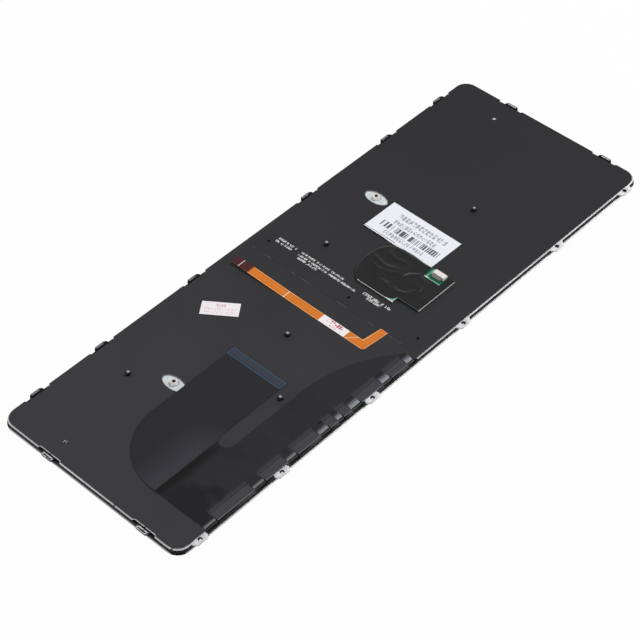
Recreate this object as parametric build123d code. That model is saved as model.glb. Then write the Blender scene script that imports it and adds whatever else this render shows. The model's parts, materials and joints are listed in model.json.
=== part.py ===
from build123d import *
from math import asin, cos, degrees, radians, sin, tan
from typing import NamedTuple
import os

# A slim replacement keyboard for a laptop, lying on its key tops with its back up. Millimetres.
# The origin is on the floor under the middle. +Y is the rear edge (function row), -Y the front edge
# (space bar), and +X is the typist's left, because the board lies face down.

# Key grid
KEY_PITCH = 18.7            # one key unit, across and along
FUNCTION_PITCH = 13.0       # depth of the function row
KEY_GAP = 3.2               # between neighbouring caps
SPLIT_GAP = 1.8             # between the two half-height keys
SIDE_MARGIN = 5.4           # key grid to plate edge, left and right
END_MARGIN = 1.75           # key grid to plate edge, front and rear

# Keycaps
KEY_H = 2.0
KEY_TRAVEL = 1.4
KEY_PROUD = 1.5             # cap top above the frame's face
KEY_TAPER = 6.0             # lean of the sides, degrees
ROOF_T = 0.8
SKIRT_T = 0.9
PRESS_CLEAR = 0.1           # pressed skirt to membrane

# Hinge under a moving key: two crossed link frames round a rubber dome
LINK_L = 8.4
LINK_W = 10.0
LINK_BAR = 1.2
LINK_T = 0.6
LINK_GAP = 0.2              # between the two frames
LINK_CLEAR = 0.05           # links and dome to the cap and the membrane
DOME_FOOT_R = 2.3
DOME_TOP_R = 1.4

# Key frame
CORNER_R = 6.5
LATTICE_T = 0.9
WINDOW_GAP = 0.4            # cap to window, all round
WALL_T = 1.6
RIM_LIP = 0.45              # rim past the wall
RIM_T = 0.7

# Hooks on the frame and the notches that they stand in
HOOK_W = 7.6
HOOK_OUT = 1.6              # past the plate edge
HOOK_DROP = 0.4             # below the plate
HOOK_CORNER = 1.2
HOOK_SLOT_L = 4.6
HOOK_BAR = 0.5              # outer bar of the loop
HOOK_CLEAR = 0.25           # hook to the notch floor
NOTCH_L = 12.0
NOTCH_SLOPE = 1.0
NOTCH_DEPTH = 1.0
HOOKS_FROM_LEFT = (20.4, 58.8)
HOOKS_FROM_CENTRE = (-38.3, 37.7)
HOOKS_FROM_RIGHT = (60.2, 20.6)
SIDE_HOOKS_FROM_CENTRE = (24.4, -34.3)

# Sheets from the membrane to the back
MEMBRANE_T = 0.2
PLATE_T = 0.5
GUIDE_T = 0.4
FILM_T = 0.1
MEMBRANE_CLEAR = 0.3        # membrane to the frame's wall
GUIDE_INSET = 1.6
FILM_INSET_LEFT = 0.6
FILM_INSET_FRONT = 0.7
FILM_INSET = 0.15           # right and rear
FILM_NOTCH_GROW = 0.35      # bare steel left round a notch

# Screw ears on the plate
EAR_W = 9.0
EAR_TIP_W = 6.0
EAR_OUT = 2.4
EAR_HOLE_R = 0.9
EAR_HOLE_OUT = 0.5
EAR_RELIEF_W = 3.2          # gap in the frame behind an ear's screw
EAR_RELIEF_D = 0.9
EARS_FROM_LEFT = (12.2, 60.7)
EARS_FROM_CENTRE = (-37.4, 23.8)
EARS_FROM_RIGHT = (63.8, 11.9)

# Ribbon of the membrane, folded round the front edge
TAIL_T = 0.2
TAIL_FROM_LEFT = 17.0
TAIL_FROM_STRIP = 3.0       # end of the lower band to the strip cover
TAIL_FRONT = 5.8            # band to the front edge
TURN_R = 30.5               # outside of the turn
RIBBON_W = 32.4
RIBBON_L = 80.7
RIBBON_FROM_FRONT = 32.4
RIBBON_SLOT_W = 8.0
RIBBON_SLOT_FROM_LEFT = 36.0
BAND_CURVE_L = 52.0         # where the band's rear edge starts to curve down
TONGUES_FROM_LEFT = ((0.1, 6.6), (29.0, 6.3), (49.4, 5.5), (69.4, 5.7))     # place, width
TONGUES_FROM_END = ((46.0, 3.1), (34.7, 5.7), (15.1, 5.1), (0.2, 3.8))      # place of the right edge, width
TONGUE_CLEAR = 0.3
TONGUE_NOTCH = 4.2          # depth of the plate's notch
FOLD_OUT = 0.7              # fold to the front edge
FOLD_RISE = 4.0             # where the tongue reaches the back, from the front edge
STIFFENER_L = 4.5
STIFFENER_T = 0.15

# Backlight strip and its cable
STRIP_X = 1.9               # middle of the strip
STRIP_W = 13.0
STRIP_T = 0.1
STRIP_CLEAR = 0.3           # strip to the slot in the light guide
STRIP_FROM_ENDS = 5.0
COVER_LAP = 0.4             # cover film past the slot
COVER_T = 0.06
COVER_HOLE_R = 0.5
COVER_HOLES_FROM_CENTRE = ((0.6, 46.5), (-1.5, -6.7), (0.4, -46.9))
LED_COUNT = 2               # along each edge of the strip
LED_L = 3.0
LED_W = 1.2
LED_T = 0.25
CABLE_W = 4.7
CABLE_RUN_W = 4.2           # run from the strip to the turn
CABLE_SLANT = 1.4           # rise of that run towards the turn
CABLE_T = 0.1
CABLE_REACH = 15.1          # strip to the outer edge of the upright run
CABLE_FROM_FRONT = 20.0     # lower edge of the run out of the strip
CABLE_R = 1.6
CABLE_INNER_R = 0.8
CABLE_FLAT = 29.0           # flat part of the upright run
CABLE_FROM_REAR = 6.2
CABLE_LIFT = 1.1            # free end above the back
CABLE_END_L = 10.2
CABLE_END_T = 0.12
CABLE_STICKER_L = 15.6
CABLE_STICKER_FROM_FRONT = 33.4
STICKER_T = 0.06

# Pointing stick, its board and the tape over it
STICK_CAP_R = 3.4
STICK_CAP_H = 2.4
STICK_CAP_RECESS = 0.15     # cap below the key tops
STICK_CAP_SEAT = 1.5
STICK_CAP_BEVEL = 0.8
STICK_POST = 2.2
STICK_CLEAR = 0.5
STICK_RING_W = 1.0
STICK_SHIFT = 1.5           # hinge of the key beside the stick, moved off it
BOARD_LEFT = 12.3           # board edges from the stick
BOARD_RIGHT = 16.5
BOARD_REAR = 19.6
BOARD_FRONT = 20.7
BOARD_STEP_W = 3.6
BOARD_STEP_FROM_STICK = 8.0
BOARD_CORNER = 6.0
BOARD_T = 0.8
BOARD_GAP = 0.1             # adhesive under the board
TAPE_T = 0.12
TAPE_DRAPE = 2.2            # tape past the board at the rear
TAPE_CORNER = 6.0
TAPE_EDGE = 0.3             # bare board edge beside the tape
WINDOW_W = 7.2              # window in the tape at the connector
WINDOW_FROM_STICK = 7.4
CONNECTOR_L = 6.7
CONNECTOR_W = 2.6
CONNECTOR_H = 1.1
CONNECTOR_SLOT_H = 0.35
CONNECTOR_EAR = 0.4
CONNECTOR_REAR_GAP = 2.2    # connector to the tape's window
CONNECTOR_FRONT_GAP = 0.5
LATCH_L = 5.6
LATCH_W = 1.7
LATCH_T = 0.6
LATCH_CLEAR = 0.12

# Labels
LABEL_W = 22.2
LABEL_L = 42.6
LABEL_T = 0.1
LABEL_FROM_BOARD = 0.15
LABEL_FROM_REAR = 34.3
NOTE_L = 18.0
NOTE_W = 8.3
NOTE_X = -44.3
NOTE_FROM_REAR = 23.3
NOTE_ANGLE = -54.0

# Nut plates with threaded bosses, locating pins and plate dimples
NUT_HALF_W = 3.6
NUT_HALF_L = 6.9
NUT_SIDES = 14
NUT_T = 0.35
NUT_CLEAR = 0.2
BOSS_R = 1.6
BOSS_H = 1.4                # above the back
BOSS_BORE_R = 0.8
NUT_LEFT_FROM_LEFT = 64.8
NUT_LEFT_FROM_RIBBON = 4.6
NUT_RIGHT_X = 58.8
NUT_RIGHT_FROM_REAR = 25.9
PIN_W = 2.0                 # square posts
PIN_H = 1.2                 # above the back
PIN_CLEAR = 0.2
PIN_AT_LEFT = (54.9, 21.7)      # from the left and the rear edge
PIN_IN_SLOT = 89.6              # from the left edge
PIN_AT_RIBBON = (-35.6, -2.4)   # from the middle
PIN_AT_BOARD = (19.2, 30.2)     # from the middle and the rear edge
PIN_AT_RIGHT = (71.4, -11.2)    # from the right edge and the middle
DIMPLE_R = 0.7
DIMPLE_FROM_LEFT = 9.9
DIMPLE_FROM_RIGHT = 13.6
DIMPLES_FROM_REAR = 30.6
SMALL_SIDES = 6             # flat sides of the small round pieces


def letters(row):
    return [(f"key_{letter}", 1.0) for letter in row]


# Rows from the rear, each from the typist's left: depth, then (node, units, keys stacked in the cell)
ROWS = [
    (FUNCTION_PITCH, [("function_row_keys", 1.0)] * 16),
    (KEY_PITCH, [("number_row_keys", 1.0)] * 13 + [("key_backspace", 2.0), ("navigation_keys", 1.0)]),
    (KEY_PITCH, [("key_tab", 1.5)] + letters("qwertyuiop") + [("symbol_keys", 1.0)] * 2
     + [("symbol_keys", 1.5), ("navigation_keys", 1.0)]),
    (KEY_PITCH, [("modifier_keys", 1.75)] + letters("asdfghjkl") + [("symbol_keys", 1.0)] * 2
     + [("key_enter", 2.25), ("navigation_keys", 1.0)]),
    (KEY_PITCH, [("key_left_shift", 2.25)] + letters("zxcvbnm") + [("symbol_keys", 1.0)] * 3
     + [("key_right_shift", 2.75), ("navigation_keys", 1.0)]),
    (KEY_PITCH, [("modifier_keys", 1.25), ("modifier_keys", 1.0), ("modifier_keys", 1.0),
                 ("modifier_keys", 1.25), ("key_space", 6.25), ("modifier_keys", 1.25),
                 ("modifier_keys", 1.0), ("navigation_keys", 1.0), ("navigation_keys", 1.0, 2),
                 ("navigation_keys", 1.0)]),
]
STICK_ROW_COUNT = 4         # the stick stands at the rear edge of this row
STICK_UNIT_COUNT = 6.75     # and this far from the typist's left

# Plan sizes that follow from the key grid
FIELD_W = KEY_PITCH * max(sum(cell[1] for cell in row) for _, row in ROWS)
FIELD_D = sum(depth for depth, _ in ROWS)
PLATE_W = FIELD_W + 2 * SIDE_MARGIN
PLATE_D = FIELD_D + 2 * END_MARGIN
LEFT, RIGHT = -PLATE_W / 2, PLATE_W / 2
FRONT, REAR = -PLATE_D / 2, PLATE_D / 2

# Levels above the key tops
FRAME_Z = KEY_PROUD
MEMBRANE_Z = KEY_H + KEY_TRAVEL + PRESS_CLEAR
PLATE_Z = MEMBRANE_Z + MEMBRANE_T
GUIDE_Z = PLATE_Z + PLATE_T
FILM_Z = GUIDE_Z + GUIDE_T
BACK_Z = FILM_Z + FILM_T
BOARD_Z = BACK_Z + BOARD_GAP
BOARD_TOP_Z = BOARD_Z + BOARD_T
RIBBON_TOP_Z = BACK_Z + TAIL_T
CABLE_TOP_Z = BACK_Z + CABLE_T

# Places that several pieces share
STICK_X = FIELD_W / 2 - STICK_UNIT_COUNT * KEY_PITCH
STICK_Y = FIELD_D / 2 - sum(depth for depth, _ in ROWS[:STICK_ROW_COUNT])
STICK_HOLE_R = STICK_CAP_R + STICK_CLEAR
STICK_RING_R = STICK_HOLE_R + STICK_RING_W
BOARD_X0, BOARD_X1 = STICK_X - BOARD_LEFT, STICK_X + BOARD_RIGHT
BOARD_Y0, BOARD_Y1 = STICK_Y - BOARD_FRONT, STICK_Y + BOARD_REAR
WINDOW_Y1 = STICK_Y - WINDOW_FROM_STICK
CONNECTOR_X0 = BOARD_X1 - CONNECTOR_W
CONNECTOR_Y1 = WINDOW_Y1 - CONNECTOR_REAR_GAP
CONNECTOR_Y0 = CONNECTOR_Y1 - CONNECTOR_L
CONNECTOR_Y = (CONNECTOR_Y0 + CONNECTOR_Y1) / 2
LATCH_AXIS_X = CONNECTOR_X0 - LATCH_CLEAR - LATCH_T / 2
LATCH_AXIS_Z = BOARD_TOP_Z + LATCH_CLEAR + LATCH_T / 2
STRIP_X0, STRIP_X1 = STRIP_X - STRIP_W / 2, STRIP_X + STRIP_W / 2
STRIP_Y0, STRIP_Y1 = FRONT + STRIP_FROM_ENDS, REAR - STRIP_FROM_ENDS
COVER_X0 = STRIP_X0 - STRIP_CLEAR - COVER_LAP
CABLE_Y0 = FRONT + CABLE_FROM_FRONT
CABLE_X0 = STRIP_X0 - CABLE_REACH
CABLE_LIFT_Y = CABLE_Y0 + CABLE_FLAT
CABLE_END_Y = REAR - CABLE_FROM_REAR
TAIL_X0 = LEFT + TAIL_FROM_LEFT
TAIL_X1 = COVER_X0 - TAIL_FROM_STRIP
RIBBON_Y0 = FRONT + RIBBON_FROM_FRONT
RIBBON_Y1 = RIBBON_Y0 + RIBBON_W
RIBBON_X1 = TAIL_X0 + RIBBON_L
NUTS = [(LEFT + NUT_LEFT_FROM_LEFT, RIBBON_Y1 + NUT_LEFT_FROM_RIBBON),
        (NUT_RIGHT_X, REAR - NUT_RIGHT_FROM_REAR)]
PINS = [(LEFT + PIN_AT_LEFT[0], REAR - PIN_AT_LEFT[1]),
        (LEFT + PIN_IN_SLOT, RIBBON_Y0 - RIBBON_SLOT_W / 2),
        PIN_AT_RIBBON,
        (PIN_AT_BOARD[0], REAR - PIN_AT_BOARD[1]),
        (RIGHT - PIN_AT_RIGHT[0], PIN_AT_RIGHT[1])]
DIMPLES = [(x, REAR - DIMPLES_FROM_REAR) for x in (LEFT + DIMPLE_FROM_LEFT, RIGHT - DIMPLE_FROM_RIGHT)]
EARS = ([LEFT + d for d in EARS_FROM_LEFT] + list(EARS_FROM_CENTRE) + [RIGHT - d for d in EARS_FROM_RIGHT])
TONGUES = ([(TAIL_X0 + x, TAIL_X0 + x + w) for x, w in TONGUES_FROM_LEFT]
           + [(TAIL_X1 - x - w, TAIL_X1 - x) for x, w in TONGUES_FROM_END])
# Hooks as a place on the edge and the turn that points outwards
HOOKS = ([(x, REAR, 0) for x in [LEFT + d for d in HOOKS_FROM_LEFT] + list(HOOKS_FROM_CENTRE)
          + [RIGHT - d for d in HOOKS_FROM_RIGHT]]
         + [(x, y, turn) for x, turn in ((LEFT, 90), (RIGHT, -90)) for y in SIDE_HOOKS_FROM_CENTRE])


class Key(NamedTuple):
    node: str
    x: float
    y: float
    width: float
    depth: float

    @property
    def moves(self):
        return self.node.startswith("key_")

    @property
    def hinge_y(self):
        beside_stick = abs(self.x - STICK_X) < self.width / 2 and abs(self.y - STICK_Y) < self.depth
        return self.y - STICK_SHIFT if beside_stick and self.y < STICK_Y else self.y


def key_places():
    keys, rear = [], FIELD_D / 2
    for pitch, row in ROWS:
        left = FIELD_W / 2
        for node, units, *stack in row:
            count = stack[0] if stack else 1
            cell = units * KEY_PITCH
            depth = (pitch - KEY_GAP - (count - 1) * SPLIT_GAP) / count
            for n in range(count):
                y = rear - KEY_GAP / 2 - depth / 2 - n * (depth + SPLIT_GAP)
                keys.append(Key(node, left - cell / 2, y, cell - KEY_GAP, depth))
            left -= cell
        rear -= pitch
    return keys


def slab(outline, low, high):
    return Pos(0, 0, low) * extrude(outline, high - low)


def box_outline(x0, x1, y0, y1):
    return Pos((x0 + x1) / 2, (y0 + y1) / 2) * Rectangle(x1 - x0, y1 - y0)


def drawn_along_x(profile, x0, x1):
    """A profile in Y and Z, drawn out along X."""
    return Pos(x0, 0, 0) * extrude(Plane.YZ * profile, x1 - x0)


def drawn_along_y(profile, y0, y1):
    """A profile in X and Z, drawn out along Y."""
    return Pos(0, y1, 0) * extrude(Plane.XZ * profile, y1 - y0)


def plate_outline(grow=0.0):
    return RectangleRounded(PLATE_W + 2 * grow, PLATE_D + 2 * grow, CORNER_R + grow)


def inner_outline(inset):
    """The plate's outline drawn in, with its corners cut straight."""
    return chamfer(Rectangle(PLATE_W - 2 * inset, PLATE_D - 2 * inset).vertices(), CORNER_R)


def notches(grow=0.0):
    """The notches with sloped ends in which the hooks stand."""
    floor, mouth = NOTCH_L / 2 + grow, NOTCH_L / 2 + NOTCH_SLOPE + grow
    deep, past = -NOTCH_DEPTH - grow, NOTCH_DEPTH
    shape = make_face(Polyline((-mouth, 0), (-floor, deep), (floor, deep), (mouth, 0),
                               (mouth, past), (-mouth, past), close=True))
    return [Pos(x, y) * Rot(0, 0, turn) * shape for x, y, turn in HOOKS]


def tongue_notches(grow=0.0):
    side = TONGUE_CLEAR + grow
    rear = FRONT + TONGUE_NOTCH + grow
    return [box_outline(x0 - side, x1 + side, FRONT - EAR_OUT, rear) for x0, x1 in TONGUES]


def discs(places, radius):
    return [Pos(x, y) * Circle(radius) for x, y in places]


def small_discs(places, radius):
    """Discs with a few flat sides, for what is a millimetre or two across."""
    return [Pos(x, y) * RegularPolygon(radius, SMALL_SIDES) for x, y in places]


def square_holes(places, radius):
    """Square cut-outs round pieces of this radius, with their clearance."""
    return [Pos(x, y) * Rectangle(2 * (radius + PIN_CLEAR), 2 * (radius + PIN_CLEAR)) for x, y in places]


def nut_outlines(grow=0.0):
    turns = [radians(360 * n / NUT_SIDES) for n in range(NUT_SIDES)]
    oval = make_face(Polyline(*[((NUT_HALF_W + grow) * cos(t), (NUT_HALF_L + grow) * sin(t)) for t in turns],
                              close=True))
    return [Pos(x, y) * oval for x, y in NUTS]


def strip_slot():
    clear = STRIP_CLEAR
    return box_outline(STRIP_X0 - clear, STRIP_X1 + clear, STRIP_Y0 - clear, STRIP_Y1 + clear)


def stick_post_hole():
    return Pos(STICK_X, STICK_Y) * Rectangle(STICK_POST + 2 * STICK_CLEAR, STICK_POST + 2 * STICK_CLEAR)


def stick_disc(radius):
    return Pos(STICK_X, STICK_Y) * RegularPolygon(radius, 2 * SMALL_SIDES)


def key_frame(keys):
    """Lattice between the keys, wall under the plate, rim round the outside and hooks on three edges."""
    windows = [Pos(k.x, k.y) * Rectangle(k.width + 2 * WINDOW_GAP, k.depth + 2 * WINDOW_GAP) for k in keys]
    lattice = plate_outline() - windows
    lattice = lattice + (stick_disc(STICK_RING_R) - stick_disc(STICK_HOLE_R)) - stick_disc(STICK_HOLE_R)
    inside = inner_outline(WALL_T)
    frame = slab(lattice, FRAME_Z, FRAME_Z + LATTICE_T)
    frame += slab(plate_outline(RIM_LIP) - inside, FRAME_Z, FRAME_Z + RIM_T)
    wall = slab(plate_outline() - inside, FRAME_Z, PLATE_Z)
    frame += wall - [slab(gap, MEMBRANE_Z - MEMBRANE_T, PLATE_Z) for gap in tongue_notches()]
    relief = box_outline(-EAR_RELIEF_W / 2, EAR_RELIEF_W / 2, FRONT - EAR_OUT, FRONT + EAR_RELIEF_D)
    frame -= [slab(Pos(x, 0) * relief, FRAME_Z, PLATE_Z) for x in EARS]
    inner = NOTCH_DEPTH - HOOK_CLEAR
    loop = box_outline(-HOOK_W / 2, HOOK_W / 2, -inner, HOOK_OUT)
    loop = chamfer(loop.vertices().group_by(Axis.Y)[-1], HOOK_CORNER)
    loop -= box_outline(-HOOK_SLOT_L / 2, HOOK_SLOT_L / 2, RIM_LIP, HOOK_OUT - HOOK_BAR)
    for x, y, turn in HOOKS:
        frame += Pos(x, y) * Rot(0, 0, turn) * slab(loop, PLATE_Z - HOOK_DROP, GUIDE_Z)
    return frame


def base_plate():
    """Steel pressing: notched edges, screw ears in front, two dimples that show on the back."""
    tip = EAR_TIP_W / 2
    ear = make_face(Polyline((-EAR_W / 2, EAR_OUT), (-EAR_W / 2, 0), (-tip, -EAR_OUT), (tip, -EAR_OUT),
                             (EAR_W / 2, 0), (EAR_W / 2, EAR_OUT), close=True))
    outline = plate_outline() - notches() - tongue_notches()
    outline += [Pos(x, FRONT) * ear for x in EARS]
    outline -= discs([(x, FRONT - EAR_HOLE_OUT) for x in EARS], EAR_HOLE_R)
    outline -= stick_post_hole()
    plate = slab(outline, PLATE_Z, GUIDE_Z)
    return plate + [slab(disc, GUIDE_Z, BACK_Z) for disc in small_discs(DIMPLES, DIMPLE_R)]


def back_openings():
    """What the light guide and the back film leave open."""
    holes = square_holes(PINS, PIN_W / 2) + square_holes(DIMPLES, DIMPLE_R)
    return nut_outlines() + holes + [strip_slot(), stick_post_hole()]


def light_guide():
    """Clear sheet behind the plate, short of the tongues at the front."""
    sheet = box_outline(LEFT + GUIDE_INSET, RIGHT - GUIDE_INSET,
                        FRONT + TONGUE_NOTCH + TONGUE_CLEAR, REAR - GUIDE_INSET)
    return slab(chamfer(sheet.vertices(), CORNER_R) - back_openings(), GUIDE_Z, FILM_Z)


def back_film():
    sheet = box_outline(LEFT + FILM_INSET_LEFT, RIGHT - FILM_INSET,
                        FRONT + FILM_INSET_FRONT, REAR - FILM_INSET)
    sheet = fillet(sheet.vertices(), CORNER_R)
    return slab(sheet - notches(FILM_NOTCH_GROW) - tongue_notches() - back_openings(), FILM_Z, BACK_Z)


def tail_outline():
    """The ribbon on the back: a band along the front edge that turns back on itself."""
    band_y0, band_y1 = FRONT + TAIL_FRONT, RIBBON_Y0 - RIBBON_SLOT_W
    curve_x, end_y = TAIL_X1 - BAND_CURVE_L, FRONT + TAIL_FRONT
    turn_x, turn_y = TAIL_X0 + TURN_R, RIBBON_Y1 - TURN_R
    slot_r = RIBBON_SLOT_W / 2
    slot_x = TAIL_X0 + RIBBON_SLOT_FROM_LEFT + slot_r
    part_way = (TAIL_X1 - BAND_CURVE_L / 3, band_y1 - (band_y1 - end_y) / 4)
    half = TURN_R * cos(radians(45))
    outside = ThreePointArc((TAIL_X0, turn_y), (turn_x - half, turn_y + half), (turn_x, RIBBON_Y1))
    edge = [
        Line((TAIL_X0, band_y0), (TAIL_X0, turn_y)), outside,
        Polyline((turn_x, RIBBON_Y1), (RIBBON_X1, RIBBON_Y1), (RIBBON_X1, RIBBON_Y0), (slot_x, RIBBON_Y0)),
        ThreePointArc((slot_x, RIBBON_Y0), (slot_x - slot_r, RIBBON_Y0 - slot_r), (slot_x, band_y1)),
        Line((slot_x, band_y1), (curve_x, band_y1)),
        ThreePointArc((curve_x, band_y1), part_way, (TAIL_X1, end_y)),
        Line((TAIL_X1, end_y), (TAIL_X0, band_y0)),
    ]
    return make_face(Curve() + edge)


def membrane_circuit():
    """Printed film under the plate; its tongues fold up through the front notches into the ribbon."""
    inside = WALL_T + MEMBRANE_CLEAR
    film = slab(inner_outline(inside) - stick_post_hole(), MEMBRANE_Z, PLATE_Z)
    film += slab(tail_outline(), BACK_Z, RIBBON_TOP_Z)
    low, high = MEMBRANE_Z + MEMBRANE_T / 2, BACK_Z + TAIL_T / 2
    fold_r = (GUIDE_Z - low) / 2
    fold_y = FRONT + FOLD_OUT + fold_r
    path = Polyline((FRONT + 2 * inside, low), (fold_y, low), (fold_y - fold_r, low + fold_r),
                    (fold_y, low + 2 * fold_r), (FRONT + FOLD_RISE, high),
                    (FRONT + TAIL_FRONT + FOLD_OUT, high))
    profile = trace(path, TAIL_T)
    return film + [drawn_along_x(profile, x0, x1) for x0, x1 in TONGUES]


def ribbon_stiffener():
    return slab(box_outline(RIBBON_X1 - STIFFENER_L, RIBBON_X1, RIBBON_Y0, RIBBON_Y1),
                RIBBON_TOP_Z, RIBBON_TOP_Z + STIFFENER_T)


def cable_curve(y0, y1, rise):
    """Part of the arc on which the free end of the cable lifts, the given rise above its middle."""
    run = CABLE_END_Y - CABLE_LIFT_Y
    radius = (run ** 2 + CABLE_LIFT ** 2) / (2 * CABLE_LIFT)
    centre_z = BACK_Z + CABLE_T / 2 + radius

    def point(y):
        turn = asin((y - CABLE_LIFT_Y) / radius)
        return CABLE_LIFT_Y + (radius - rise) * sin(turn), centre_z - (radius - rise) * cos(turn)

    return ThreePointArc(point(y0), point((y0 + y1) / 2), point(y1))


def backlight_cable():
    """LED strip in the light guide's slot; its cable comes up beside the cover and lifts at its end."""
    strip = slab(box_outline(STRIP_X0, STRIP_X1, STRIP_Y0, STRIP_Y1), GUIDE_Z, GUIDE_Z + STRIP_T)
    root_x, root_y1 = STRIP_X0 + STRIP_T, CABLE_Y0 + CABLE_RUN_W
    riser = slab(box_outline(STRIP_X0, root_x, CABLE_Y0, root_y1), GUIDE_Z, CABLE_TOP_Z)
    outer = (CABLE_X0, CABLE_Y0 + CABLE_SLANT)
    inner = (CABLE_X0 + CABLE_W, root_y1 + CABLE_SLANT)
    turn = make_face(Polyline((STRIP_X0, CABLE_Y0), (root_x, CABLE_Y0), (root_x, root_y1),
                              (STRIP_X0, root_y1), inner, (CABLE_X0 + CABLE_W, CABLE_LIFT_Y),
                              (CABLE_X0, CABLE_LIFT_Y), outer, close=True))
    for place, radius in ((outer, CABLE_R), (inner, CABLE_INNER_R)):
        turn = fillet(turn.vertices().sort_by_distance(place)[0], radius)
    flat = slab(turn, BACK_Z, CABLE_TOP_Z)
    lift = trace(cable_curve(CABLE_LIFT_Y, CABLE_END_Y, 0), CABLE_T)
    return strip + riser + flat + drawn_along_x(lift, CABLE_X0, CABLE_X0 + CABLE_W)


def cable_end_stiffener():
    curve = cable_curve(CABLE_END_Y - CABLE_END_L, CABLE_END_Y, (CABLE_T + CABLE_END_T) / 2)
    return drawn_along_x(trace(curve, CABLE_END_T), CABLE_X0, CABLE_X0 + CABLE_W)


def cable_sticker():
    y0 = FRONT + CABLE_STICKER_FROM_FRONT
    return slab(box_outline(CABLE_X0, CABLE_X0 + CABLE_W, y0, y0 + CABLE_STICKER_L),
                CABLE_TOP_Z, CABLE_TOP_Z + STICKER_T)


def backlight_leds():
    """LEDs along both edges of the strip, facing the light guide on either side."""
    pitch = (STRIP_Y1 - STRIP_Y0) / LED_COUNT
    led = slab(Rectangle(LED_W, LED_L), GUIDE_Z + STRIP_T, GUIDE_Z + STRIP_T + LED_T)
    sides = (STRIP_X0 + STRIP_T + LED_W, STRIP_X1 - LED_W)
    return [Pos(x, STRIP_Y0 + (n + 0.5) * pitch) * led for x in sides for n in range(LED_COUNT)]


def strip_cover():
    lap = STRIP_CLEAR + COVER_LAP
    sheet = box_outline(COVER_X0, STRIP_X1 + lap, STRIP_Y0 - lap, STRIP_Y1 + lap)
    sheet -= box_outline(COVER_X0 - lap, STRIP_X0 + STRIP_T + STRIP_CLEAR,
                         CABLE_Y0 - STRIP_CLEAR, CABLE_Y0 + CABLE_RUN_W + STRIP_CLEAR)
    sheet -= small_discs([(STRIP_X + x, y) for x, y in COVER_HOLES_FROM_CENTRE], COVER_HOLE_R)
    return slab(sheet, BACK_Z, BACK_Z + COVER_T)


def stick_board():
    step_y = STICK_Y - BOARD_STEP_FROM_STICK
    outline = box_outline(BOARD_X0, BOARD_X1, BOARD_Y0, BOARD_Y1)
    outline = chamfer(outline.vertices().group_by(Axis.Y)[-1], BOARD_CORNER)
    outline -= box_outline(BOARD_X0, BOARD_X0 + BOARD_STEP_W, BOARD_Y0, step_y)
    return slab(outline, BOARD_Z, BOARD_TOP_Z)


def board_tape():
    """Tape over the board: flush with its front and left edges, draped down to the back film at the rear."""
    x0, x1, y0 = BOARD_X0 + TAPE_EDGE, BOARD_X1 - TAPE_EDGE, BOARD_Y0 + TAPE_EDGE
    top, foot = BOARD_TOP_Z + TAPE_T / 2, BACK_Z + TAPE_T / 2
    fall = BOARD_T + BOARD_GAP
    drape = Polyline((y0, top), (BOARD_Y1 + TAPE_T, top), (BOARD_Y1 + TAPE_T + fall, foot),
                     (BOARD_Y1 + TAPE_DRAPE, foot))
    outline = box_outline(x0, x1, y0, BOARD_Y1 + TAPE_DRAPE)
    outline = chamfer(outline.vertices().group_by(Axis.Y)[-1], TAPE_CORNER)
    outline -= box_outline(x1 - WINDOW_W, BOARD_X1, CONNECTOR_Y0 - CONNECTOR_FRONT_GAP, WINDOW_Y1)
    step_x, step_y = BOARD_X0 + BOARD_STEP_W + TAPE_EDGE, STICK_Y - BOARD_STEP_FROM_STICK
    outline -= box_outline(BOARD_X0, step_x, BOARD_Y0, step_y)
    return drawn_along_x(trace(drape, TAPE_T), x0, x1) & slab(outline, BACK_Z, BOARD_TOP_Z + TAPE_T)


def board_connector():
    """Cable connector at the board's edge: the cable goes in from the edge, the latch lies behind it."""
    y0, y1 = CONNECTOR_Y0, CONNECTOR_Y1
    top, mid = BOARD_TOP_Z + CONNECTOR_H, BOARD_TOP_Z + CONNECTOR_H / 2
    housing = slab(box_outline(CONNECTOR_X0, BOARD_X1, y0, y1), BOARD_TOP_Z, top)
    slot = box_outline(CONNECTOR_X0 + CONNECTOR_EAR, BOARD_X1, y0 + CONNECTOR_EAR, y1 - CONNECTOR_EAR)
    housing -= slab(slot, mid - CONNECTOR_SLOT_H / 2, mid + CONNECTOR_SLOT_H / 2)
    ears = [box_outline(LATCH_AXIS_X - LATCH_T / 2, CONNECTOR_X0, y, y + CONNECTOR_EAR)
            for y in (y0, y1 - CONNECTOR_EAR)]
    return housing + [slab(ear, BOARD_TOP_Z, LATCH_AXIS_Z + LATCH_T / 2) for ear in ears]


def connector_latch():
    """Flip latch: a flat bar, round at its hinge."""
    half = LATCH_T / 2
    bar = box_outline(LATCH_AXIS_X - LATCH_W, LATCH_AXIS_X, LATCH_AXIS_Z - half, LATCH_AXIS_Z + half)
    bar += Pos(LATCH_AXIS_X, LATCH_AXIS_Z) * Circle(half)
    return drawn_along_y(bar, CONNECTOR_Y - LATCH_L / 2, CONNECTOR_Y + LATCH_L / 2)


def stick_post():
    foot = STICK_CAP_RECESS + STICK_CAP_H - STICK_CAP_SEAT
    return Pos(STICK_X, STICK_Y) * slab(Rectangle(STICK_POST, STICK_POST), foot, BOARD_Z)


def stick_cap():
    """Domed rubber cap with a square socket for the post."""
    top = STICK_CAP_RECESS + STICK_CAP_H
    cap = slab(stick_disc(STICK_CAP_R), STICK_CAP_RECESS, top)
    cap = chamfer(cap.edges().group_by(Axis.Z)[0], STICK_CAP_BEVEL)
    return cap - Pos(STICK_X, STICK_Y) * slab(Rectangle(STICK_POST, STICK_POST), top - STICK_CAP_SEAT, top)


def barcode_label():
    x0, y1 = BOARD_X1 + LABEL_FROM_BOARD, REAR - LABEL_FROM_REAR
    return slab(box_outline(x0, x0 + LABEL_W, y1 - LABEL_L, y1), BACK_Z, BACK_Z + LABEL_T)


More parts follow.
